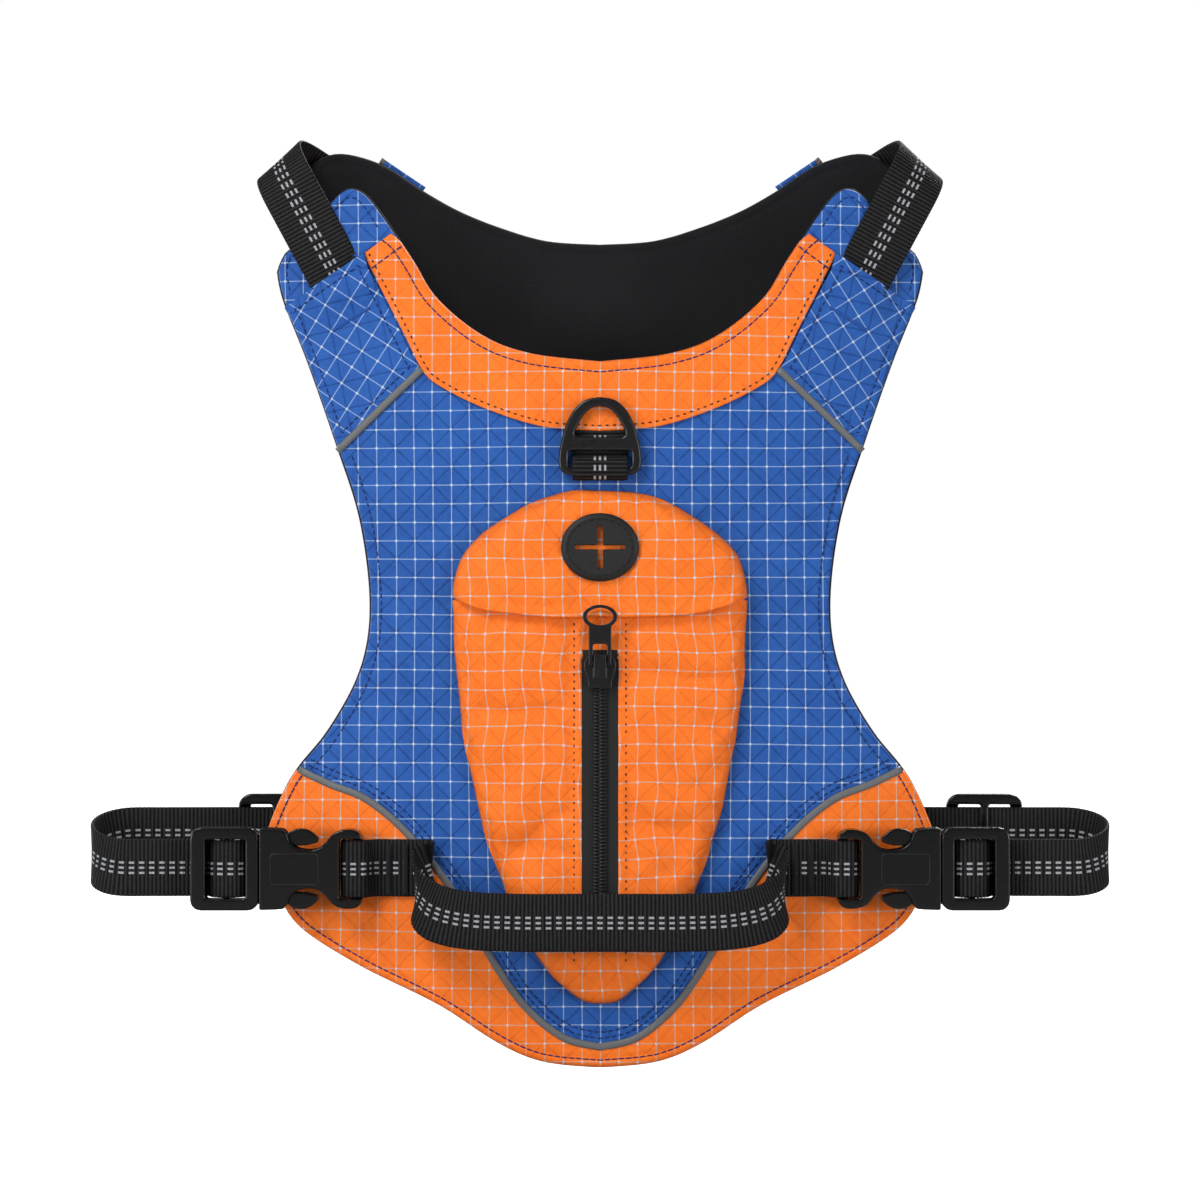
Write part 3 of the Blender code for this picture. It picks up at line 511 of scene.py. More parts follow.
def ripstop(name, colour, line_colour, dark, emboss):
    """Cloth with a pale woven grid and embossed diagonals, with painted shade along the diagonals'
    grooves; UV is in metres.
    """
    g = Graph(name)
    across, along = g.cloth_axes()
    u = g.math("DIVIDE", across, GRID_PITCH * MM)
    v = g.math("DIVIDE", along, GRID_PITCH * MM)
    weft, warp = g.line(u, 0.012, 0.026), g.line(v, 0.012, 0.026)
    grid = g.math("MAXIMUM", weft, warp)
    beads = g.math("PINGPONG", g.math("MULTIPLY", g.math("ADD", u, v), 14.0), 0.5)
    thread = g.math("MULTIPLY", grid, g.math("ADD", g.math("MULTIPLY", beads, 0.7), 0.55), clamp=True)
    knots = g.math("MULTIPLY", g.line(u, 0.035, 0.05), g.line(v, 0.035, 0.05))
    rising = g.line(g.math("MULTIPLY", g.math("ADD", u, v), 0.5), 0.012, 0.035)
    falling = g.line(g.math("MULTIPLY", g.math("SUBTRACT", u, v), 0.5), 0.012, 0.035)
    diamond = g.math("MAXIMUM", rising, falling)
    blotch = g.noise(55.0, 4.0)
    mottle = g.math("SUBTRACT", g.math("ADD", blotch, g.noise(420.0, 3.0)), 0.78, clamp=True)
    # Painted shade: the cloth is darkened towards the dark colour along the embossed diagonals, plus a
    # random mottle of uneven tone.
    groove_shade_and_mottle = g.math("ADD", g.math("MULTIPLY", diamond, 0.32 * emboss), mottle, clamp=True)
    cloth = g.mix(groove_shade_and_mottle, colour, dark)
    lined = g.mix(thread, cloth, line_colour)
    colour_out = g.mix(g.math("MULTIPLY", knots, 0.75), lined, (0.66, 0.70, 0.76))
    height = g.math("SUBTRACT", g.math("MULTIPLY", thread, 0.5), g.math("MULTIPLY", diamond, emboss))
    fine = g.noise(1500.0, 2.0)
    g.bump(g.math("ADD", height, g.math("MULTIPLY", fine, 0.5)), 0.6, 0.0002)
    g.finish(colour_out, 0.66)


def webbing_material():
    """Black ribbed webbing, with painted shade in the valleys between its ribs; UV is length and width
    in metres.
    """
    g = Graph("black_webbing")
    length, width = g.cloth_axes()
    valley_shade = g.math("PINGPONG", g.math("DIVIDE", length, RIB * MM), 0.5)
    weave = g.noise(900.0, 3.0)
    # Painted shade: the valleys between the ribs are darkened, on top of the weave's random tone.
    weave_and_valley_shade = g.math("SUBTRACT", g.math("ADD", g.math("MULTIPLY", weave, 0.7), 0.55),
                  g.math("MULTIPLY", valley_shade, 2.1), clamp=True)
    colour = g.mix(weave_and_valley_shade, (0.001, 0.001, 0.0012), (0.030, 0.030, 0.032))
    row = g.math("ABSOLUTE", g.math("DIVIDE", width, DASH_ROW * MM))
    near = g.math("LESS_THAN", g.math("PINGPONG", row, 0.5), 0.21)
    few = g.math("LESS_THAN", row, 1.4)
    along = g.math("PINGPONG", g.math("DIVIDE", length, DASH_PITCH * MM), 0.5)
    dash = g.math("LESS_THAN", along, 0.26)
    mask = g.math("MULTIPLY", g.math("MULTIPLY", near, few), dash)
    colour = g.mix(mask, colour, (0.36, 0.37, 0.39))
    g.bump(weave, 0.5, 0.0002)
    g.finish(colour, 0.68, gloss=0.14)


def lining_material():
    """Soft matt knit."""
    g = Graph("black_lining")
    fine = g.noise(1300.0, 2.0)
    slow = g.noise(24.0, 3.0)
    colour = g.mix(g.math("MULTIPLY", g.math("ADD", fine, slow), 0.5), (0.004, 0.004, 0.005),
                   (0.022, 0.022, 0.024))
    g.bump(fine, 0.45, 0.00025)
    g.finish(colour, 0.9, gloss=0.12)


def grained(name, dark, light, roughness, scale, metallic=0.0, depth=0.00006, gloss=0.4):
    """Moulded plastic, rubber or coated metal with a fine grain."""
    g = Graph(name)
    fine = g.noise(scale, 3.0)
    colour = g.mix(fine, dark, light)
    g.bump(fine, 0.35, depth)
    rough = g.math("ADD", g.math("MULTIPLY", fine, 0.15), roughness - 0.07)
    g.finish(colour, rough, metallic, gloss)


def thread_material(name, colour):
    """Twisted sewing thread."""
    g = Graph(name)
    twist = g.noise(2200.0, 1.0)
    light = tuple(min(1.0, c * 1.8 + 0.01) for c in colour)
    g.finish(g.mix(twist, colour, light), 0.6)


def piping_material():
    """Grey reflective tape."""
    g = Graph("grey_piping")
    fine = g.noise(1800.0, 2.0)
    colour = g.mix(fine, (0.10, 0.105, 0.11), (0.19, 0.195, 0.20))
    g.bump(fine, 0.4, 0.0001)
    g.finish(colour, 0.42)


# The third colour of each is the darker tone used for the painted shade along the embossed diagonals and
# for the random mottle.
ripstop("blue_ripstop", (0.020, 0.108, 0.420), (0.34, 0.49, 0.74), (0.008, 0.058, 0.27), 1.7)
ripstop("orange_ripstop", (1.0, 0.205, 0.018), (0.56, 0.45, 0.37), (0.84, 0.135, 0.008), 1.0)
lining_material()
webbing_material()
piping_material()
grained("black_plastic", (0.001, 0.001, 0.001), (0.0035, 0.0035, 0.004), 0.21, 900.0,
        depth=0.00008, gloss=0.42)
grained("black_rubber", (0.006, 0.006, 0.006), (0.014, 0.014, 0.014), 0.55, 700.0)
grained("black_metal", (0.006, 0.006, 0.007), (0.014, 0.014, 0.016), 0.30, 500.0,
        metallic=0.3, gloss=0.6)
grained("zip_coil", (0.006, 0.006, 0.006), (0.020, 0.020, 0.021), 0.34, 1200.0)
grained("zip_tape", (0.006, 0.006, 0.006), (0.020, 0.020, 0.021), 0.85, 1500.0, depth=0.0002)
for thread, dye in THREADS.items():
    thread_material(thread, dye)


# ------------------------------------------------------------------ pieces

def add_piece(name, verts, faces, material, uv=None, body="vest"):
    """A mesh piece from points in millimetres; it rides on a CAD body."""
    mesh = bpy.data.meshes.new(name)
    points = (np.asarray(verts, float) * MM).tolist()
    mesh.from_pydata(points, [], [tuple(map(int, f)) for f in faces])
    mesh.materials.append(MATERIALS[material])
    if uv is not None:
        layer = mesh.uv_layers.new(name="UVMap")
        corner = np.zeros(len(mesh.loops), int)
        mesh.loops.foreach_get("vertex_index", corner)
        layer.data.foreach_set("uv", (np.asarray(uv, float)[corner] * MM).ravel())
    mesh.shade_smooth()
    obj = bpy.data.objects.new(name, mesh)
    bpy.context.scene.collection.objects.link(obj)
    if body:
        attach(obj, body)
    return obj


def solidify(obj, thickness):
    """Give a sheet its thickness, on its inner side."""
    mod = obj.modifiers.new("thickness", "SOLIDIFY")
    mod.thickness = thickness * MM
    mod.offset = -1.0
    mod.use_even_offset = False
    return obj


def turned(xz, angle):
    """Pattern coordinates: the cloth's grid turned by an angle in degrees."""
    a = math.radians(angle)
    x = xz[:, 0] + 0.7 * ripple(xz[:, 0], xz[:, 1], 1.9, 0.7)
    z = xz[:, 1] + 0.7 * ripple(xz[:, 1], xz[:, 0], 1.9, 1.9)
    return np.column_stack([x * math.cos(a) + z * math.sin(a), z * math.cos(a) - x * math.sin(a)])


def wandering(uv, size):
    """Weave that runs in slow waves, as in cloth that is eased onto a curved seam."""
    uv = np.array(uv, float)
    u, v = uv[:, 0].copy(), uv[:, 1].copy()
    uv[:, 0] += size * (np.sin(v / 8.0 + u / 21.0) + 0.6 * np.sin(v / 4.4 - u / 13.0 + 2.0))
    uv[:, 1] += size * (0.5 * np.sin(u / 9.0 + v / 30.0 + 0.7) + 0.3 * np.sin(u / 5.2 + v / 17.0))
    return uv


def cloth_layer(name, outline, height, material, facing, thick=0.6, grain=0.0, grid=4.5,
                rings=(0.7, 1.6, 2.8, 3.7, 4.4, 5.1, 6.5), hole=None, sewn=None, drift=0.0):
    """A layer of cloth on a panel. height takes x and z and gives the outer side's height."""
    xz, faces = fill(outline, rings, grid, 2.4, hole)
    if facing > 0:
        faces = [f[::-1] for f in faces]
    obj = add_piece(name, laid(xz, height, facing), faces, material,
                    wandering(turned(xz, grain), drift))
    if sewn is not None:
        settle(obj, sewn(xz[:, 0], xz[:, 1]))
    return solidify(obj, thick)


def loosen(obj):
    """Make a sheet simulated cloth that is held along its sewn points and puffed up a little."""
    cloth = obj.modifiers.new("cloth", "CLOTH")
    settings = cloth.settings
    settings.quality = 8
    settings.mass = 0.2
    settings.tension_stiffness = 25
    settings.compression_stiffness = 25
    settings.shear_stiffness = 12
    settings.bending_stiffness = 0.3
    settings.shrink_min = -CLOTH_GROWTH
    settings.use_pressure = True
    settings.uniform_pressure_force = 1.0
    settings.vertex_group_mass = "sewn"
    settings.effector_weights.gravity = 0
    cloth.collision_settings.use_collision = False
    cloth.point_cache.frame_start, cloth.point_cache.frame_end = 1, SIM_FRAMES
    return cloth


def settle(obj, pinned):
    """Let a cloth layer wrinkle between its sewn edges, and keep the shape it settles in."""
    group = obj.vertex_groups.new(name="sewn")
    group.add([int(i) for i in np.flatnonzero(pinned)], 1.0, "REPLACE")
    rest = np.zeros(len(obj.data.vertices) * 3)
    obj.data.vertices.foreach_get("co", rest)
    obj.data.vertices.foreach_set("co", rest * SIM_SCALE)
    cloth = loosen(obj)
    for frame_number in range(1, SIM_FRAMES + 1):
        bpy.context.scene.frame_set(frame_number)
    settled = obj.evaluated_get(bpy.context.evaluated_depsgraph_get())
    found = np.zeros(len(rest))
    settled.data.vertices.foreach_get("co", found)
    move = (found / SIM_SCALE - rest).reshape(-1, 3)
    size = np.linalg.norm(move, axis=1)
    move *= np.minimum(1.0, CLOTH_REACH * MM / np.maximum(size, 1e-9))[:, None]
    obj.modifiers.remove(cloth)
    obj.vertex_groups.remove(group)
    obj.data.vertices.foreach_set("co", (rest.reshape(-1, 3) + move).ravel())
    obj.data.update()
    bpy.context.scene.frame_set(1)


def padding(name, outline, height, facing):
    """The black padded lining: rounded all round, soft on the wearer's side."""
    xz, faces = fill(outline, (0.5, 1.2, 2.2, 3.4, 4.4, 5.4, 8.0), 7.0, 3.0)
    x, z = xz[:, 0], xz[:, 1]
    d = distance_to(xz, outline)
    outer = PAD_EDGE + (height(x, z) - 0.75 - PAD_EDGE) * roll_over(d, 2.6)
    inner = (PAD_EDGE - 2.5 * roll_over(d, 2.6) + groove(d, SEAM_INSET, 1.0, -0.6)
             - 0.35 * ripple(x, z, 1.4, 0.6) * ease(d / 12) + 0.35 * ease(d / 12))
    rim = d < 1e-3
    index = np.arange(len(xz))
    back = index + len(xz)
    back[rim] = index[rim]
    verts = np.concatenate([on_panel(x, z, facing, outer), on_panel(x, z, facing, inner)])
    front_faces = faces if facing < 0 else [f[::-1] for f in faces]
    back_faces = [tuple(back[i] for i in reversed(f)) for f in front_faces]
    used = np.zeros(len(verts), bool)
    used[np.unique(np.concatenate([np.ravel(front_faces), np.ravel(back_faces)]))] = True
    renumber = np.cumsum(used) - 1
    all_faces = [tuple(renumber[i] for i in f) for f in front_faces + back_faces]
    return add_piece(name, verts[used], all_faces, "black_lining")


CAPSULE_RINGS = ((-1.0, 0.35), (-0.72, 0.95), (0.72, 0.95), (1.0, 0.35))
CAPSULE_SIDES = 6


def capsules(name, centres, along, facing, length, radius, material, flatten=1.0):
    """Many small rounded rods in one piece: stitches, or the coils of a zip."""
    t = unit(np.asarray(along, float))
    n = np.tile([0.0, facing, 0.0], (len(centres), 1))
    n = unit(n - np.sum(n * t, axis=1)[:, None] * t)
    b = np.cross(t, n)
    verts = []
    for reach, swell in CAPSULE_RINGS:
        for k in range(CAPSULE_SIDES):
            a = 2 * math.pi * k / CAPSULE_SIDES
            verts.append(centres + t * reach * length / 2 + n * math.cos(a) * radius * swell * flatten
                         + b * math.sin(a) * radius * swell)
    verts = np.stack(verts, axis=1)
    each = verts.shape[1]
    faces = tube_faces(len(CAPSULE_RINGS), CAPSULE_SIDES)
    every = [tuple(i + each * j for i in f) for j in range(len(centres)) for f in faces]
    return add_piece(name, verts.reshape(-1, 3), every, material)


def threads(name, centres, along, facing, length, material):
    """Short lengths of thread, which belong to the cloth and webbing they hold."""
    return capsules(name, centres, along, facing, length, STITCH_RADIUS, material)


def shifted(line, distance):
    """An open line moved sideways, to its right."""
    pts = spaced(line, 2.0, loop=False)
    ahead = unit(np.gradient(pts, axis=0))
    moved = pts + np.column_stack([ahead[:, 1], -ahead[:, 0]]) * distance
    return moved[distance_to(moved, pts, loop=False) > abs(distance) * 0.95]


def open_inset(line, outline, distance):
    """An open line moved into an outline it lies along."""
    moved = shifted(line, distance)
    if inside(moved, outline).mean() < 0.5:
        moved = shifted(line, -distance)
    moved = moved[inside(moved, outline)]
    return moved[distance_to(moved, outline) > distance * 0.7]


def stitch_row(name, path, height, facing, material, loop=True, length=STITCH_LENGTH):
    """Stitches along a flat path, lying on a panel's surface."""
    points = laid(spaced(path, STITCH_PITCH, loop), height, facing, 0.12)
    ahead = round_trip(points)
    if not loop:
        ahead[0] = points[1] - points[0]
        ahead[-1] = points[-1] - points[-2]
    return threads(name, points, ahead, facing, length, material)


def seam_stitches(name, outline, height, facing, material, distance):
    """Stitches all round a piece of cloth, at a distance from its edge."""
    ring = inset(spaced(outline, 2.0), distance)
    return stitch_row(name, ring, height, facing, material)


def bartack(name, centre, angle, length, height, facing, material="black_thread", wide=2.3):
    """A dense bar of short stitches laid across its own length."""
    a = math.radians(angle)
    heading = np.array([math.cos(a), math.sin(a)])
    steps = np.arange(-length / 2, length / 2, 0.55)
    spots = np.array(centre) + steps[:, None] * heading
    across = np.tile([-heading[1], 0.0, heading[0]], (len(spots), 1))
    across[:, 0] += 0.25 * np.where(np.arange(len(spots)) % 2, 1, -1)
    return threads(name, laid(spots, height, facing, 0.15), across, facing, wide, material)


PIPING_PROFILE = ((-1.0, -0.6), (-0.96, 0.35), (-0.6, 0.85), (0.0, 1.0), (0.6, 0.85), (0.96, 0.35),
                  (1.0, -0.6))


def cord_strip(name, line, height, facing):
    """Reflective piping: a half-round strip along a flat line."""
    spots = spaced(line, 2.5, loop=False)
    ahead = unit(np.gradient(spots, axis=0))
    across = np.column_stack([-ahead[:, 1], ahead[:, 0]])
    middle = height(spots[:, 0], spots[:, 1])
    rows = []
    for side, up in PIPING_PROFILE:
        xz = spots + across * side * PIPING_WIDTH / 2
        rows.append(on_panel(xz[:, 0], xz[:, 1], facing, middle + up * PIPING_RISE))
    faces = tube_faces(len(spots), len(rows))
    if facing > 0:
        faces = [f[::-1] for f in faces]
    return add_piece(name, np.stack(rows, axis=1).reshape(-1, 3), faces, "grey_piping")


# ------------------------------------------------------------------ webbing

WEB_PROFILE = [(-1.0, 0.0), (-0.985, 0.7), (-0.93, 1.0), (-0.62, 1.0), (-0.31, 1.0), (0.0, 1.0),
               (0.31, 1.0), (0.62, 1.0), (0.93, 1.0), (0.985, 0.7)]
WEB_PROFILE = WEB_PROFILE + [(-v, -n) for v, n in WEB_PROFILE]


def even_stations(stations, soften):
    """Centres and width directions at an even, fine spacing, and how far along each one lies."""
    centres = np.array([tuple(c) for c, _ in stations], float)
    across = unit(np.array([tuple(w) for _, w in stations], float))
    both = np.array(smooth(np.column_stack([centres, across]), 6))
    seg = np.linalg.norm(np.diff(both[:, :3], axis=0), axis=1)
    where = np.concatenate([[0], np.cumsum(seg)])
    at = np.linspace(0, where[-1], int(where[-1] / (RIB / 4)) + 1)
    fine = np.column_stack([np.interp(at, where, both[:, k]) for k in range(6)])
    for _ in range(soften):
        fine[1:-1] = (fine[:-2] + 2 * fine[1:-1] + fine[2:]) / 4
    return fine[:, :3], fine[:, 3:], at


def webbing(name, stations, body="vest", width=WEB_WIDTH, half=WEB_HALF, material="black_webbing",
            soften=3):
    """Ribbed webbing through stations, each a centre and the direction of the width."""
    centre, w, at = even_stations(stations, soften)
    t = unit(np.gradient(centre, axis=0))
    w = unit(w - np.sum(w * t, axis=1)[:, None] * t)
    n = np.cross(t, w)
    rib = 0.5 + 0.5 * np.cos(2 * math.pi * at / RIB)
    thick = half * (0.5 + 0.5 * rib)
    spread = width / 2 * (0.992 + 0.008 * rib)
    rows = [centre + w * (v * spread)[:, None] + n * (k * thick)[:, None] for v, k in WEB_PROFILE]
    verts = np.stack(rows, axis=1).reshape(-1, 3)
    uv = np.array([(s, v * width / 2) for s in at for v, _ in WEB_PROFILE])
    faces = tube_faces(len(at), len(rows), turned_in=True)
    return add_piece(name, verts, faces, material, uv, body)


def fold_stations(start, start_y, end_y, steps=16):
    """A flat strap wound half a turn over a slanting edge, from the back to the chest side."""
    angle = (STRAP_RISE + STRAP_FALL) / 2
    crease = Vector((math.cos(angle), 0, math.sin(angle)))
    outwards = Vector((math.sin(angle), 0, -math.cos(angle)))
    heading = Vector((math.cos(STRAP_RISE), 0, math.sin(STRAP_RISE)))
    width = Vector((math.sin(STRAP_RISE), 0, -math.cos(STRAP_RISE)))
    radius = (end_y - start_y) / 2
    drift = math.pi * radius * heading.dot(crease) / heading.dot(outwards)
    stations = []
    for i in range(steps + 1):
        turn = math.pi * i / steps
        centre = (Vector((start[0], start_y + radius, start[1])) + crease * drift * i / steps
                  + outwards * radius * math.sin(turn) - Vector((0, radius * math.cos(turn), 0)))
        swung = outwards * math.cos(turn) + Vector((0, math.sin(turn), 0))
        stations.append((centre, crease * width.dot(crease) + swung * width.dot(outwards)))
    return stations


def patch_stretch(fold_y, heading, width):
    """The shoulder strap's stretch from inside the patch's slot up to the fold."""
    stations = []
    for back_step in (47, 43, 38, 31, 22, 11):
        spot = Vector((SHOULDER_FOLD[0], fold_y, SHOULDER_FOLD[1])) - heading * back_step
        sunk = -7.0 - 2.2 * float(ease((47 - back_step) / 26))
        spot.y = back_y(spot.x) + sunk
        stations.append((spot, width))
    return stations


def chest_stretch(end, across):
    """Its stretch on the chest panel, which ends under the blue shell."""
    down = Vector((math.cos(STRAP_FALL), 0, math.sin(STRAP_FALL)))
    slope = (SHOULDER_REAR_Y[1] - SHOULDER_REAR_Y[0]) / SHOULDER_REAR_LENGTH
    stations = []
    for gone in (9, 18, 27, 36, 45, 53, 60):
        spot = end + down * gone
        spot.y = SHOULDER_REAR_Y[0] + slope * gone
        stations.append((spot, across))
    for gone, height in ((64.0, 9.8), (68.0, 6.2), (72.5, 4.6)):
        spot = end + down * gone
        spot.y = chest_y(spot.x) + height
        stations.append((spot, across))
    return stations


def shoulder_stations():
    """The right shoulder strap, from the back panel over the fold to the chest panel."""
    heading = Vector((math.cos(STRAP_RISE), 0, math.sin(STRAP_RISE)))
    width = (math.sin(STRAP_RISE), 0, -math.cos(STRAP_RISE))
    fold_y = back_y(SHOULDER_FOLD[0]) - 9.2
    fold = fold_stations(SHOULDER_FOLD, fold_y, SHOULDER_REAR_Y[0])
    end, across = fold[-1]
    return patch_stretch(fold_y, heading, width) + fold + chest_stretch(end, across)


def mirrored(vector, side):
    """A vector on the right (1) or, mirrored, on the left (-1)."""
    return Vector((vector[0] * side, vector[1], vector[2]))


# ------------------------------------------------------------------ back panel

def build_back_base():
    lining = padding("back_lining_pad", BACK_OUTLINE, back_height, -1)
    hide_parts("back_lining")
    shell = cloth_layer("back_shell_cloth", inset(BACK_OUTLINE, 0.9), back_height,
                        "blue_ripstop", -1)
    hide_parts("back_shell")


def build_neck_yoke():
    yoke = closed(YOKE_END + YOKE_OUTER[::-1])
    yoke = inset(spaced(yoke, 2.0), LAYER_TRIM)
    cloth = cloth_layer("neck_yoke_cloth", yoke, over_wings, "orange_ripstop", -1)
    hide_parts("neck_yoke")
    neck = open_inset(flipped(YOKE_END) + YOKE_END[1:], BACK_OUTLINE, 5.0)
    stitch_row("neck_yoke_stitches", neck, over_wings, -1, "violet_thread", False, LONG_STITCH)
    outer = open_inset(flipped(YOKE_OUTER) + YOKE_OUTER[1:], yoke, 2.6)
    stitch_row("neck_yoke_seam_stitches", outer, over_wings, -1, "black_thread", False, 1.3)
    for name, side in SIDES.items():
        end_line = sided([(87.4, 256.8), (98.4, 248.8)], side)
        stitch_row("neck_yoke_end_stitches_" + name, end_line, over_wings, -1, "violet_thread",
                   False, LONG_STITCH)


def build_wings():
    """The orange wings and the piping between them and the blue tongue."""
    hem = [p for p in BACK_SIDE if p[1] < 29.5] + BACK_HEM[1:]
    wings = hem + flipped(hem)[1:] + sided(WING_EDGE, -1) + WING_EDGE[-2::-1]
    wings = inset(spaced(wings, 2.0), LAYER_TRIM)
    cloth = cloth_layer("wing_panel_cloth", wings, over_shell, "orange_ripstop", -1)
    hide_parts("wing_panel")
    hem_line = open_inset(hem + flipped(hem)[1:], wings, 3.8)
    stitch_row("wing_panel_stitches", hem_line, over_shell, -1, "violet_thread", False,
               LONG_STITCH)
    strip = cord_strip("wing_piping_strip", WING_EDGE + flipped(WING_EDGE)[1:], over_shell, -1)
    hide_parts("wing_piping")


def build_shell_stitches():
    """Stitches along the blue shell's sides, and two rows round its tongue."""
    for name, side in SIDES.items():
        edge = [p for p in BACK_SIDE if 30 < p[1] < 168]
        edge = open_inset(sided(edge, side), BACK_OUTLINE, 5.4)
        stitch_row("back_shell_side_stitches_" + name, edge, back_height, -1, "blue_thread", False)
    for label, away in (("inner", 6.2), ("outer", 3.6)):
        tongue = shifted(WING_EDGE + flipped(WING_EDGE)[1:], away)
        tongue = tongue[distance_to(tongue, BACK_OUTLINE) > 3.0]
        tongue = tongue[inside(tongue, BACK_OUTLINE)]
        stitch_row("back_shell_%s_stitches" % label, tongue, back_height, -1, "blue_thread", False)


def build_shoulder_patch(name, side):
    """The patch that holds the shoulder strap, its seams and the bar tack through the panel."""
    patch = ([(102.0, 256.0), (139.2, 231.8)] + [p for p in BACK_SIDE if 169 < p[1] < 230]
             + SHOULDER_SEAM + [p for p in YOKE_OUTER if 207 < p[1] < 252])
    patch = inset(spaced(sided(patch, side), 2.0), 0.6)
    cloth = cloth_layer("shoulder_patch_cloth_" + name, patch, over_strap, "blue_ripstop", -1,
                        grain=33.0 * side)
    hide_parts("shoulder_patch_" + name)
    seam_stitches("shoulder_patch_stitches_" + name, patch, over_strap, -1, "blue_thread", 3.8)
    strip = cord_strip("shoulder_piping_strip_" + name, sided(SHOULDER_SEAM, side), over_shell, -1)
    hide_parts("shoulder_piping_" + name)
    tack = (side * SHOULDER_TACK[0], SHOULDER_TACK[1])
    bartack("shoulder_bartack_" + name, tack, side * -31.0, 19.0, over_strap, -1,
            "bright_thread", 1.5)
    bartack("lining_bartack_" + name, tack, side * -31.0, 19.0,
            lambda x, z: back_y(x) - chest_y(x) - 0.25, 1, "black_thread", 2.0)
    tip_line = smooth([(97.5, 267), (104, 276.5), (109.5, 279.4), (114.5, 275.5), (124, 262.5),
                       (136.5, 251.5), (136.0, 240)])
    stitch_row("shoulder_tip_stitches_" + name, sided(tip_line, side), back_height, -1,
               "blue_thread", False)


# ------------------------------------------------------------------ pocket

def pocket_height(x, z):
    """The pocket's front: puffed, with the pull of the cloth towards its lower end."""
    d = distance_to(np.column_stack([x, z]), POCKET_OUTLINE)
    rise = roll_over(d, 11.0)
    creases = np.sin(z / 7.5 + np.abs(x) / 6.0) * ease((np.abs(x) - 14) / 18) * ease((60 - z) / 50)
    clear = ease((np.abs(x) - 10) / 6)
    lip = 1.9 * np.exp(-((np.abs(x) - ZIP_HALF - 0.6) / 2.0) ** 2) * ease((z + 48) / 8)
    return (6.4 + (SKIN_TOP - 6.4) * rise + 0.9 * ripple(x, z, 0.8, 2.0) * ease(d / 10) * clear
            + 1.1 * creases * ease(d / 12) + lip * ease((99 - z) / 6))


def hood_height(x, z):
    """The hood lies over the pocket's front and has a rounded lip along its fold."""
    points = np.column_stack([x, z])
    sides = ease(distance_to(points, POCKET_OUTLINE) / 5.0)
    fold = distance_to(points, FOLD_FULL, loop=False)
    lift = np.clip((152.5 - z) / 10.0, 0, 1) * (0.35 + 0.65 * sides)
    return pocket_height(x, z) + HOOD_LIFT * lift + 1.7 * np.exp(-(fold / 3.4) ** 2) * sides


def pocket_seams(x, z):
    """Where the pocket's front is sewn down: its outline, beside the zip, under the hood."""
    edge = distance_to(np.column_stack([x, z]), POCKET_OUTLINE) < 1.5
    beside_zip = (np.abs(x) < 11.5) & (z > ZIP_BOTTOM - 12)
    return edge | beside_zip | (z > 94)


def hood_seams(x, z):
    """Where the hood is held: its outline, its lower fold and the eyelet."""
    points = np.column_stack([x, z])
    edge = distance_to(points, POCKET_OUTLINE) < 1.5
    fold = distance_to(points, FOLD_FULL, loop=False) < 1.5
    eyelet = np.linalg.norm(points - np.array(GROMMET), axis=1) < 17
    return edge | fold | eyelet


def build_pocket_front():
    lower = [p for p in POCKET_SIDE if p[1] < 103.5]
    top_edge = [(x, z + 3.5) for x, z in FOLD_LINE if x < 60]
    body = wavy(spaced(closed(top_edge + lower), 2.2), 0.35)
    opening = [(-ZIP_HALF, ZIP_BOTTOM + 2), (ZIP_HALF, ZIP_BOTTOM + 2), (ZIP_HALF, 78.0),
               (-ZIP_HALF, 78.0)]
    front = cloth_layer("pocket_front_cloth", body, pocket_height, "orange_ripstop", -1,
                        thick=0.7, grid=2.6, rings=POCKET_RINGS, hole=opening,
                        sewn=pocket_seams, drift=0.75)
    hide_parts("pocket_body")


def build_hood():
    upper = [p for p in POCKET_SIDE if p[1] > 106.5]
    hood = wavy(spaced(closed(upper + FOLD_LINE[::-1][1:]), 2.2), 0.3)
    cover = cloth_layer("pocket_hood_cloth", hood, hood_height, "orange_ripstop", -1,
                        thick=1.6, grid=2.8, rings=POCKET_RINGS, sewn=hood_seams, drift=0.4)
    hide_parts("pocket_hood")


def build_zip_stitches():
    for name, side in SIDES.items():
        line = [(side * 11.2, 93.0), (side * 11.2, -52.0)]
        stitch_row("zip_stitches_" + name, line, pocket_height, -1, "black_thread", False, 1.1)


def build_grommet_stitches():
    """A row of stitches sunk in a ring on the eyelet's face."""
    turn = np.linspace(0, 2 * math.pi, 60, endpoint=False)
    ring = np.column_stack([GROMMET[0] + 14.1 * np.cos(turn), GROMMET[1] + 12.2 * np.sin(turn)])
    stitch_row("grommet_stitches", ring, level(SKIN_TOP + HOOD_LIFT + 3.0), -1, "black_thread")


# ------------------------------------------------------------------ hardware

def smooth_hardware(node, material, voxel, passes=12):
    """Round a CAD solid's edges as a mould would, and give it its finish."""
    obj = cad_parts[node]
    remesh = obj.modifiers.new("voxels", "REMESH")
    remesh.mode = "VOXEL"
    remesh.voxel_size = voxel * MM
    remesh.use_smooth_shade = True
    soften = obj.modifiers.new("soften", "SMOOTH")
    soften.factor = 0.5
    soften.iterations = passes
    obj.data.materials.clear()
    obj.data.materials.append(MATERIALS[material])
    obj.data.shade_smooth()


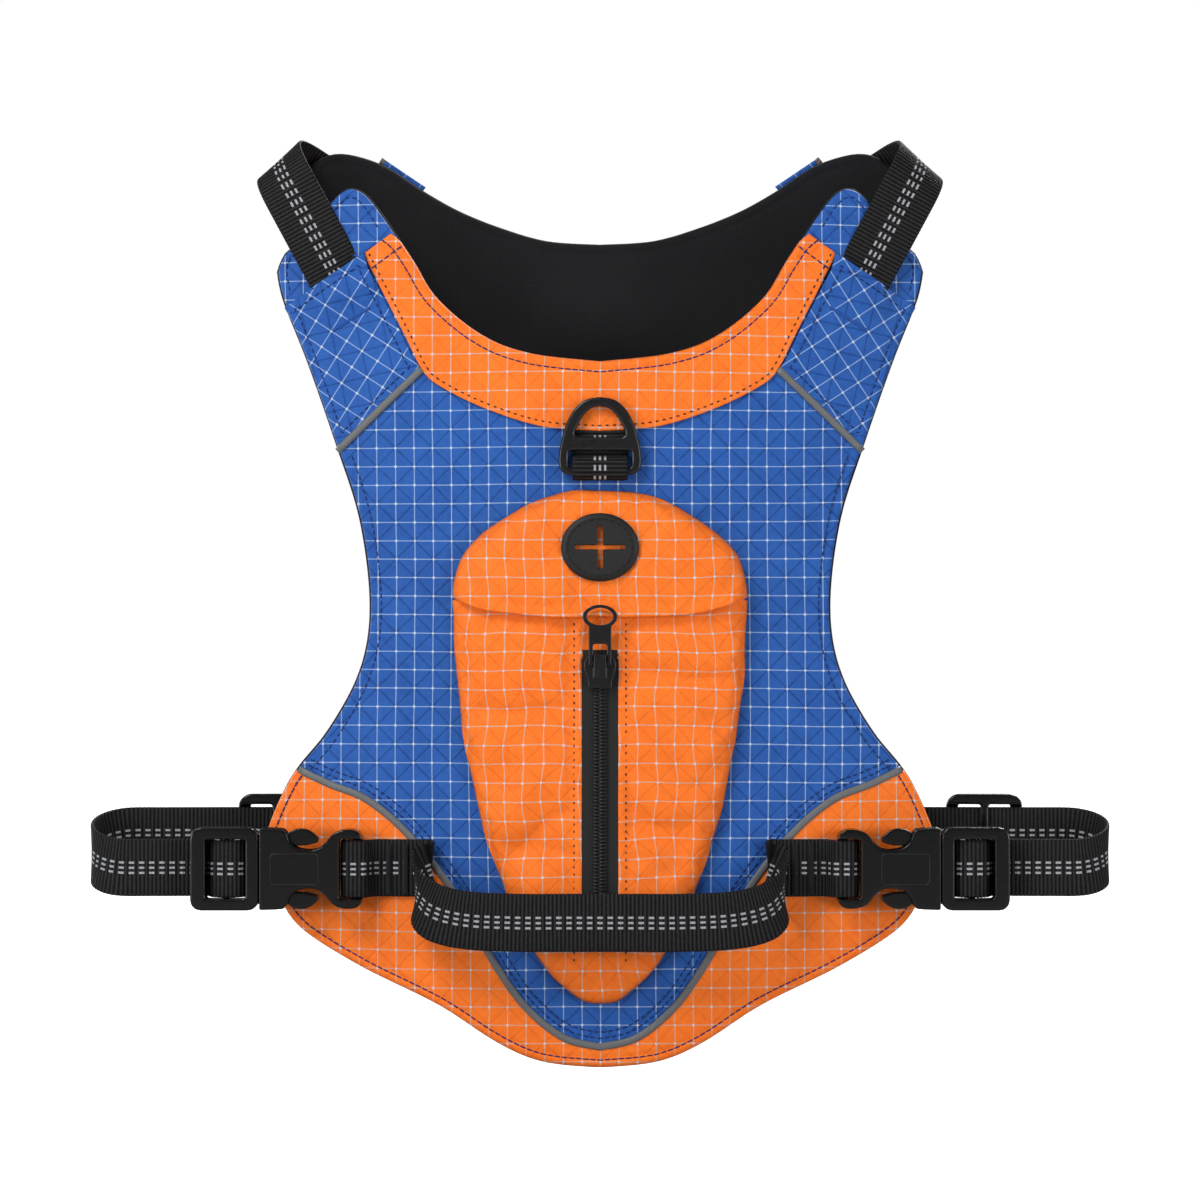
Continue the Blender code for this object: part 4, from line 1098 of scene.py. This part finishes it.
def build_hardware():
    for name, side in SIDES.items():
        for part in ("buckle_female_", "buckle_male_"):
            smooth_hardware(part + name, "black_plastic", 0.5)
        for part in ("buckle_arm_upper_", "buckle_arm_lower_"):
            smooth_hardware(part + name, "black_plastic", 0.4, 5)
        for part in ("girth_glide_", "shoulder_glide_"):
            smooth_hardware(part + name, "black_plastic", 0.45)
        build_buckle_frame(name, side)
    smooth_hardware("leash_ring", "black_metal", 0.45, 22)
    smooth_hardware("grommet", "black_rubber", 0.35, 3)
    for part in ("zip_slider", "zip_pull"):
        smooth_hardware(part, "black_metal", 0.25, 4)
    smooth_hardware("zip_tape", "zip_tape", 0.4, 1)


def build_buckle_frame(name, side):
    """The raised line moulded round the housing's face."""
    centre_x, half_x, half_z, radius = 132.25, 8.75, 5.0, 1.6
    corners = []
    for quarter, (right, up) in enumerate(((1, 1), (-1, 1), (-1, -1), (1, -1))):
        for step in range(5):
            angle = math.radians(quarter * 90 + step * 22.5)
            x = centre_x + right * half_x + radius * math.cos(angle)
            z = BUCKLE_Z + up * half_z + radius * math.sin(angle)
            corners.append((side * x, BUCKLE_FACE_Y, z))
    path = spaced(corners, 0.9)
    capsules("buckle_frame_" + name, path, round_trip(path), -1, 1.3, 0.42, "black_plastic")


def build_zip_coil():
    """Two rows of coils that interlock down the middle of the tape."""
    pitch = 1.5
    y = back_y(0) - SKIN_TOP - 2.45
    rows = np.arange(ZIP_BOTTOM + 2, ZIP_TOP - 2, pitch)
    for name, side in SIDES.items():
        z = rows + (0 if side > 0 else pitch / 2)
        centres = np.column_stack([np.full(len(z), side * 1.15), np.full(len(z), y), z])
        along = np.tile([1.0, 0.0, 0.12 * side], (len(z), 1))
        coil = capsules("zip_coil_" + name, centres, along, -1, 3.5, 0.55, "zip_coil", flatten=1.3)
        if side > 0:
            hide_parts("zip_chain")


# ------------------------------------------------------------------ straps

def webbing_tacks(name, places, middle_z, surface, facing):
    """Bars of black stitches across a strap, where it is sewn down."""
    for number, x in enumerate(places):
        bartack("%s_%d" % (name, number + 1), (x, middle_z), 90.0, 22.0, surface, facing,
                wide=2.6)


def handle_half():
    """The right half of the handle, from the middle of the grip round the buckle's bar."""
    grip = [(0, -53.0, -34.5), (16, -53.0, -34.5), (34, -53.0, -34.5), (56, -52.2, -33.6),
            (70, -49.0, -30.8), (77, -43.5, -26.0), (78.8, -37.0, -20.0), (76.6, -31.4, -15.2),
            (73.4, -28.7, BUCKLE_Z)]
    tab = [(x, back_y(x) - off) for x, off in ((78.0, 9.0), (86, 8.9), (95.0, 9.0))]
    tab += [(99, -26.0), (102, -31.4), (105.2, -32.4), (109.2, -32.2), (111.7, -29.2),
            (110.8, -25.0)]
    return grip + [(x, y, BUCKLE_Z) for x, y in tab]


def build_handle():
    for name, side in SIDES.items():
        stations = [(mirrored(p, side), (0, 0, 1)) for p in handle_half()]
        strap = webbing("handle_webbing_" + name, stations, body=None)
        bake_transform(strap)
        if side > 0:
            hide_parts("handle_tab_" + name, "handle_grip")
        else:
            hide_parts("handle_tab_" + name)
        webbing_tacks("handle_tacks_" + name, (side * 84.5, side * 92.0), BUCKLE_Z, level(9.75), -1)


def girth_path():
    """The right girth strap, from the male buckle's bar round the side to the chest panel."""
    front = [(153.0, -26.6), (156.6, -30.2), (161.0, -31.0), (165.6, -30.6), (168.6, -28.4),
             (169.3, -25.4), (171.0, -22.9), (175.0, -22.9), (190, -23.6), (198, -23.8),
             (LOOP_X, LOOP_FRONT_Y)]
    path = [(x, y, BUCKLE_Z) for x, y in front]
    middle = (LOOP_FRONT_Y + LOOP_REAR_Y) / 2
    radius = (LOOP_REAR_Y - LOOP_FRONT_Y) / 2
    for i in range(1, 11):
        angle = math.pi * i / 10
        z = BUCKLE_Z + (REAR_STRAP_Z - BUCKLE_Z) * float(ease(i / 10))
        path.append((LOOP_X + radius * math.sin(angle), middle - radius * math.cos(angle), z))
    rear = [(195, 10.04), (180, 10.65), (150, 11.85), GIRTH_SEAM]
    rear += [(x, chest_y(x) + 8.0) for x in (114, 103, 91)]
    return path + [(x, y, REAR_STRAP_Z) for x, y in rear]


def build_girth_strap(name, side):
    stations = [(mirrored(p, side), (0, 0, 1)) for p in girth_path()]
    strap = webbing("girth_webbing_" + name, stations, body=None)
    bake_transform(strap)
    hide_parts("girth_strap_front_" + name, "girth_strap_rear_" + name)
    webbing_tacks("girth_tacks_" + name, (side * 103.0, side * 110.0), REAR_STRAP_Z, level(8.7), 1)
    seam = Vector((*GIRTH_SEAM, REAR_STRAP_Z))
    outwards = (Vector((LOOP_X, LOOP_REAR_Y, REAR_STRAP_Z)) - seam).normalized()
    spot = seam + outwards * (GIRTH_GLIDE_X[name] - seam.x)
    glide_fold("girth_fold_" + name, "girth_glide_" + name, mirrored(spot, side),
               mirrored(outwards, side), (0, 0, 1))


def build_shoulder_strap(name, side):
    stations = shoulder_stations()
    strap = webbing("shoulder_webbing_" + name,
                    [(mirrored(p, side), mirrored(w, side)) for p, w in stations])
    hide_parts("shoulder_strap_" + name)
    start, across = stations[-11]
    end = stations[-4][0]
    along = (end - start).normalized()
    build_retainer(name, side, start + along * RETAINER_AT, along, Vector(across))
    glide_at = mirrored(start + along * SHOULDER_GLIDE_AT[name], side)
    glide_fold("shoulder_fold_" + name, "shoulder_glide_" + name, glide_at,
               mirrored(along, side), mirrored(across, side))


def glide_fold(name, body, centre, along, across):
    """The strap's end, folded over a glide's middle bar; it goes with the glide."""
    along, across = along.normalized(), Vector(across).normalized()
    normal = along.cross(across).normalized()
    if normal.y < 0:
        normal = -normal
    reach = 11.2
    stations = []
    for u in np.linspace(-reach, reach, 9):
        rise = 0.9 + 2.1 * (1 - (u / reach) ** 2)
        stations.append((centre + along * float(u) + normal * float(rise), across))
    webbing(name, stations, body=body, width=24.4)


def retainer_line(bow, centre, along, across):
    """The middle line of a retainer band, which arches over the strap and the glide."""
    arch = centre.y + WEB_HALF + 5.6
    line = []
    for v in np.linspace(-27.5, 24.5, 27):
        spot = centre + across * float(v) - along * bow * (1 - (float(v) / 27.0) ** 2)
        rest = chest_y(spot.x) + 7.6
        bulge = float(ease((24.5 - abs(v + 1.0)) / 5.6))
        spot.y = rest + (arch - rest) * bulge
        line.append(spot)
    return line


def retainer_crown(offset):
    """How much a retainer band crowns at a distance from its middle line."""
    return 0.5 * (1 - (offset / RETAINER_HALF) ** 2)


def build_retainer_band(name, side, line, along):
    verts = []
    uv = []
    widths = np.linspace(-RETAINER_HALF, RETAINER_HALF, 9)
    for i, spot in enumerate(line):
        for w in widths:
            p = mirrored(spot + along * float(w), side)
            verts.append((p.x, p.y + retainer_crown(w), p.z))
            uv.append((w, i * 2.0))
    faces = []
    ring = len(widths)
    for i in range(len(line) - 1):
        for k in range(ring - 1):
            a = i * ring + k
            faces.append((a, a + 1, a + ring + 1, a + ring))
    quad = [Vector(verts[j]) for j in faces[len(faces) // 2]]
    if (quad[1] - quad[0]).cross(quad[2] - quad[1]).y < 0:
        faces = [f[::-1] for f in faces]
    band = add_piece("retainer_band_cloth_" + name, verts, faces, "blue_ripstop", uv)
    solidify(band, 1.0)
    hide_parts("retainer_band_" + name)


def build_retainer(name, side, centre, along, across):
    """The blue band over the strap and the glide, with piping on its outer edge."""
    if across.z < 0:
        across = -across
    line = retainer_line(RETAINER_BOW[name], centre, along, across)
    build_retainer_band(name, side, line, along)
    tube = [mirrored(spot - along * 11.2, side) + Vector((0, 0.3, 0)) for spot in line]
    webbing_edge("retainer_piping_" + name, [(p, mirrored(along, side)) for p in tube])
    for label, place in (("outer", -7.6), ("inner", 8.4)):
        row = [tuple(mirrored(spot + along * place, side)) for spot in line]
        row = spaced(row, STITCH_PITCH, loop=False)[2:-2]
        row[:, 1] += retainer_crown(place) + 0.3
        threads("retainer_stitches_%s_%s" % (label, name), row, np.gradient(row, axis=0), 1,
                STITCH_LENGTH, "blue_thread")


def webbing_edge(name, stations):
    """A narrow strip of grey piping."""
    obj = webbing(name, stations, width=3.4, half=0.9, material="grey_piping")


def build_ring_loop():
    """The webbing that holds the leash ring."""
    z0 = RING_AXIS_Z
    axis_y = back_y(0) - RING_OFFSET
    anchor_y = back_y(0) - 7.4
    front_y = 2 * axis_y - anchor_y
    middle, radius = (anchor_y + front_y) / 2, (anchor_y - front_y) / 2
    path = [(anchor_y, z0 + 19.0), (anchor_y, z0 + 8), (anchor_y, z0)]
    for i in range(1, 8):
        angle = math.pi * i / 8
        path.append((middle + radius * math.cos(angle), z0 - radius * math.sin(angle)))
    path += [(front_y, z0), (front_y, z0 + 3.2), (front_y + 1.6, z0 + 5.4),
             (anchor_y - 2.4, z0 + 6.2)]
    stations = [((0, y, z), (1, 0, 0)) for y, z in path]
    loop = webbing("leash_ring_webbing", stations, width=24.0, soften=2)
    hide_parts("leash_ring_loop")


# ------------------------------------------------------------------ chest panel

def build_chest_base():
    lining = padding("chest_lining_pad", CHEST_OUTLINE, chest_height, 1)
    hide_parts("chest_lining")
    body = inset(spaced(CHEST_BODY, 2.0), 1.0)
    shell = cloth_layer("chest_shell_cloth", body, chest_height, "blue_ripstop", 1)
    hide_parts("chest_shell")
    seam_stitches("chest_shell_stitches", body, chest_height, 1, "blue_thread", 3.8)


def chest_tab(name, side, outer, start, end):
    """An orange tab's cloth, and the line of its outer edge's stitches."""
    tab = inset(sided(spaced([start] + outer[1:-1] + [end], 2.0), side), 0.9)
    cloth = cloth_layer(name, tab, chest_height, "orange_ripstop", 1)
    edge = open_inset(sided(outer, side), CHEST_OUTLINE, 4.6)
    return cloth, tab, edge


def build_chest_tabs(name, side):
    cloth, tab, edge = chest_tab("chest_side_tab_cloth_" + name, side, SIDE_TAB_EDGE,
                                 (91.4, 31.5), (91.4, -26.5))
    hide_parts("chest_side_tab_" + name)
    stitch_row("chest_side_tab_stitches_" + name, edge[np.abs(edge[:, 0]) > 93], chest_height, 1,
               "violet_thread", False, LONG_STITCH)
    cloth, tab, edge = chest_tab("chest_shoulder_tab_cloth_" + name, side, SHOULDER_TAB_EDGE,
                                 (51.8, 273.0), (81.2, 226.4))
    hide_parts("chest_shoulder_tab_" + name)
    stitch_row("chest_shoulder_tab_stitches_" + name, edge[inside(edge, tab)], chest_height, 1,
               "violet_thread", False, LONG_STITCH)


def build_chest_piping(name, side):
    line = sided([(90.4, 31.0), (90.4, 2), (90.4, -26.0)], side)
    strip = cord_strip("chest_side_piping_strip_" + name, line, chest_height, 1)
    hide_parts("chest_side_piping_" + name)
    line = sided([(50.8, 271.4), (65.3, 248.6), (79.6, 226.0)], side)
    strip = cord_strip("chest_shoulder_piping_strip_" + name, line, chest_height, 1)
    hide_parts("chest_shoulder_piping_" + name)


# ------------------------------------------------------------------ stage

def build_stage():
    """A white floor, which doesn't light the vest from below."""
    mesh = bpy.data.meshes.new("floor")
    reach, level = 4.0, -0.104
    mesh.from_pydata([(-reach, -reach, level), (reach, -reach, level), (reach, reach, level),
                      (-reach, reach, level)], [], [(0, 1, 2, 3)])
    g = Graph("floor")
    g.shader.inputs["Emission Color"].default_value = (1, 1, 1, 1)
    seen = g.node("ShaderNodeLightPath").outputs["Is Camera Ray"]
    g.put(g.shader.inputs["Emission Strength"], g.math("MULTIPLY", seen, 0.95))
    g.finish((0.40, 0.40, 0.40), 0.9)
    mesh.materials.append(MATERIALS["floor"])
    floor = bpy.data.objects.new("floor", mesh)
    bpy.context.scene.collection.objects.link(floor)


def build_light(name, place, size, power):
    """A square lamp aimed at the vest."""
    lamp = bpy.data.lights.new(name, "AREA")
    lamp.size = size
    lamp.energy = power
    obj = bpy.data.objects.new(name, lamp)
    obj.location = place
    aim = Vector((0, 0, 0.1)) - Vector(place)
    obj.rotation_euler = aim.to_track_quat("-Z", "Y").to_euler()
    bpy.context.scene.collection.objects.link(obj)


def build_world():
    """A white backdrop that gives only a dim, even light."""
    world = bpy.data.worlds.new("studio")
    bpy.context.scene.world = world
    world.use_nodes = True
    tree = world.node_tree
    back = tree.nodes["Background"]
    back.inputs["Color"].default_value = (1, 1, 1, 1)
    path = tree.nodes.new("ShaderNodeLightPath")
    blend = tree.nodes.new("ShaderNodeMix")
    blend.data_type = "FLOAT"
    blend.inputs[2].default_value = AMBIENT
    blend.inputs[3].default_value = 1.0
    tree.links.new(path.outputs["Is Camera Ray"], blend.inputs[0])
    tree.links.new(blend.outputs[0], back.inputs["Strength"])


def build_camera():
    lens = bpy.data.cameras.new("camera")
    lens.lens = 110
    lens.sensor_width = 36
    camera = bpy.data.objects.new("camera", lens)
    camera.location = (0.0, -1.62, 0.1035)
    camera.rotation_euler = (math.radians(90), 0, 0)
    bpy.context.scene.collection.objects.link(camera)
    bpy.context.scene.camera = camera


# ------------------------------------------------------------------ build

build_back_base()
build_neck_yoke()
build_wings()
build_shell_stitches()
for side_label, side_sign in SIDES.items():
    build_shoulder_patch(side_label, side_sign)
build_pocket_front()
build_hood()
build_zip_stitches()
build_zip_coil()
build_grommet_stitches()
build_hardware()
build_handle()
build_ring_loop()
build_chest_base()
for side_label, side_sign in SIDES.items():
    build_chest_tabs(side_label, side_sign)
    build_chest_piping(side_label, side_sign)
for side_label, side_sign in SIDES.items():
    build_girth_strap(side_label, side_sign)
    build_shoulder_strap(side_label, side_sign)
build_stage()
build_world()
build_light("key", (-0.9, -1.3, 1.45), 0.7, 22)
build_light("fill", (1.6, -1.4, 0.1), 1.1, 23)
build_light("low_fill", (-1.5, -1.4, 0.0), 1.0, 24)
build_light("rear", (0.8, 1.3, 1.6), 0.8, 58)
build_light("rear_fill", (-1.5, 1.5, 0.3), 1.2, 28)
build_camera()
bpy.context.scene.view_settings.view_transform = "Standard"
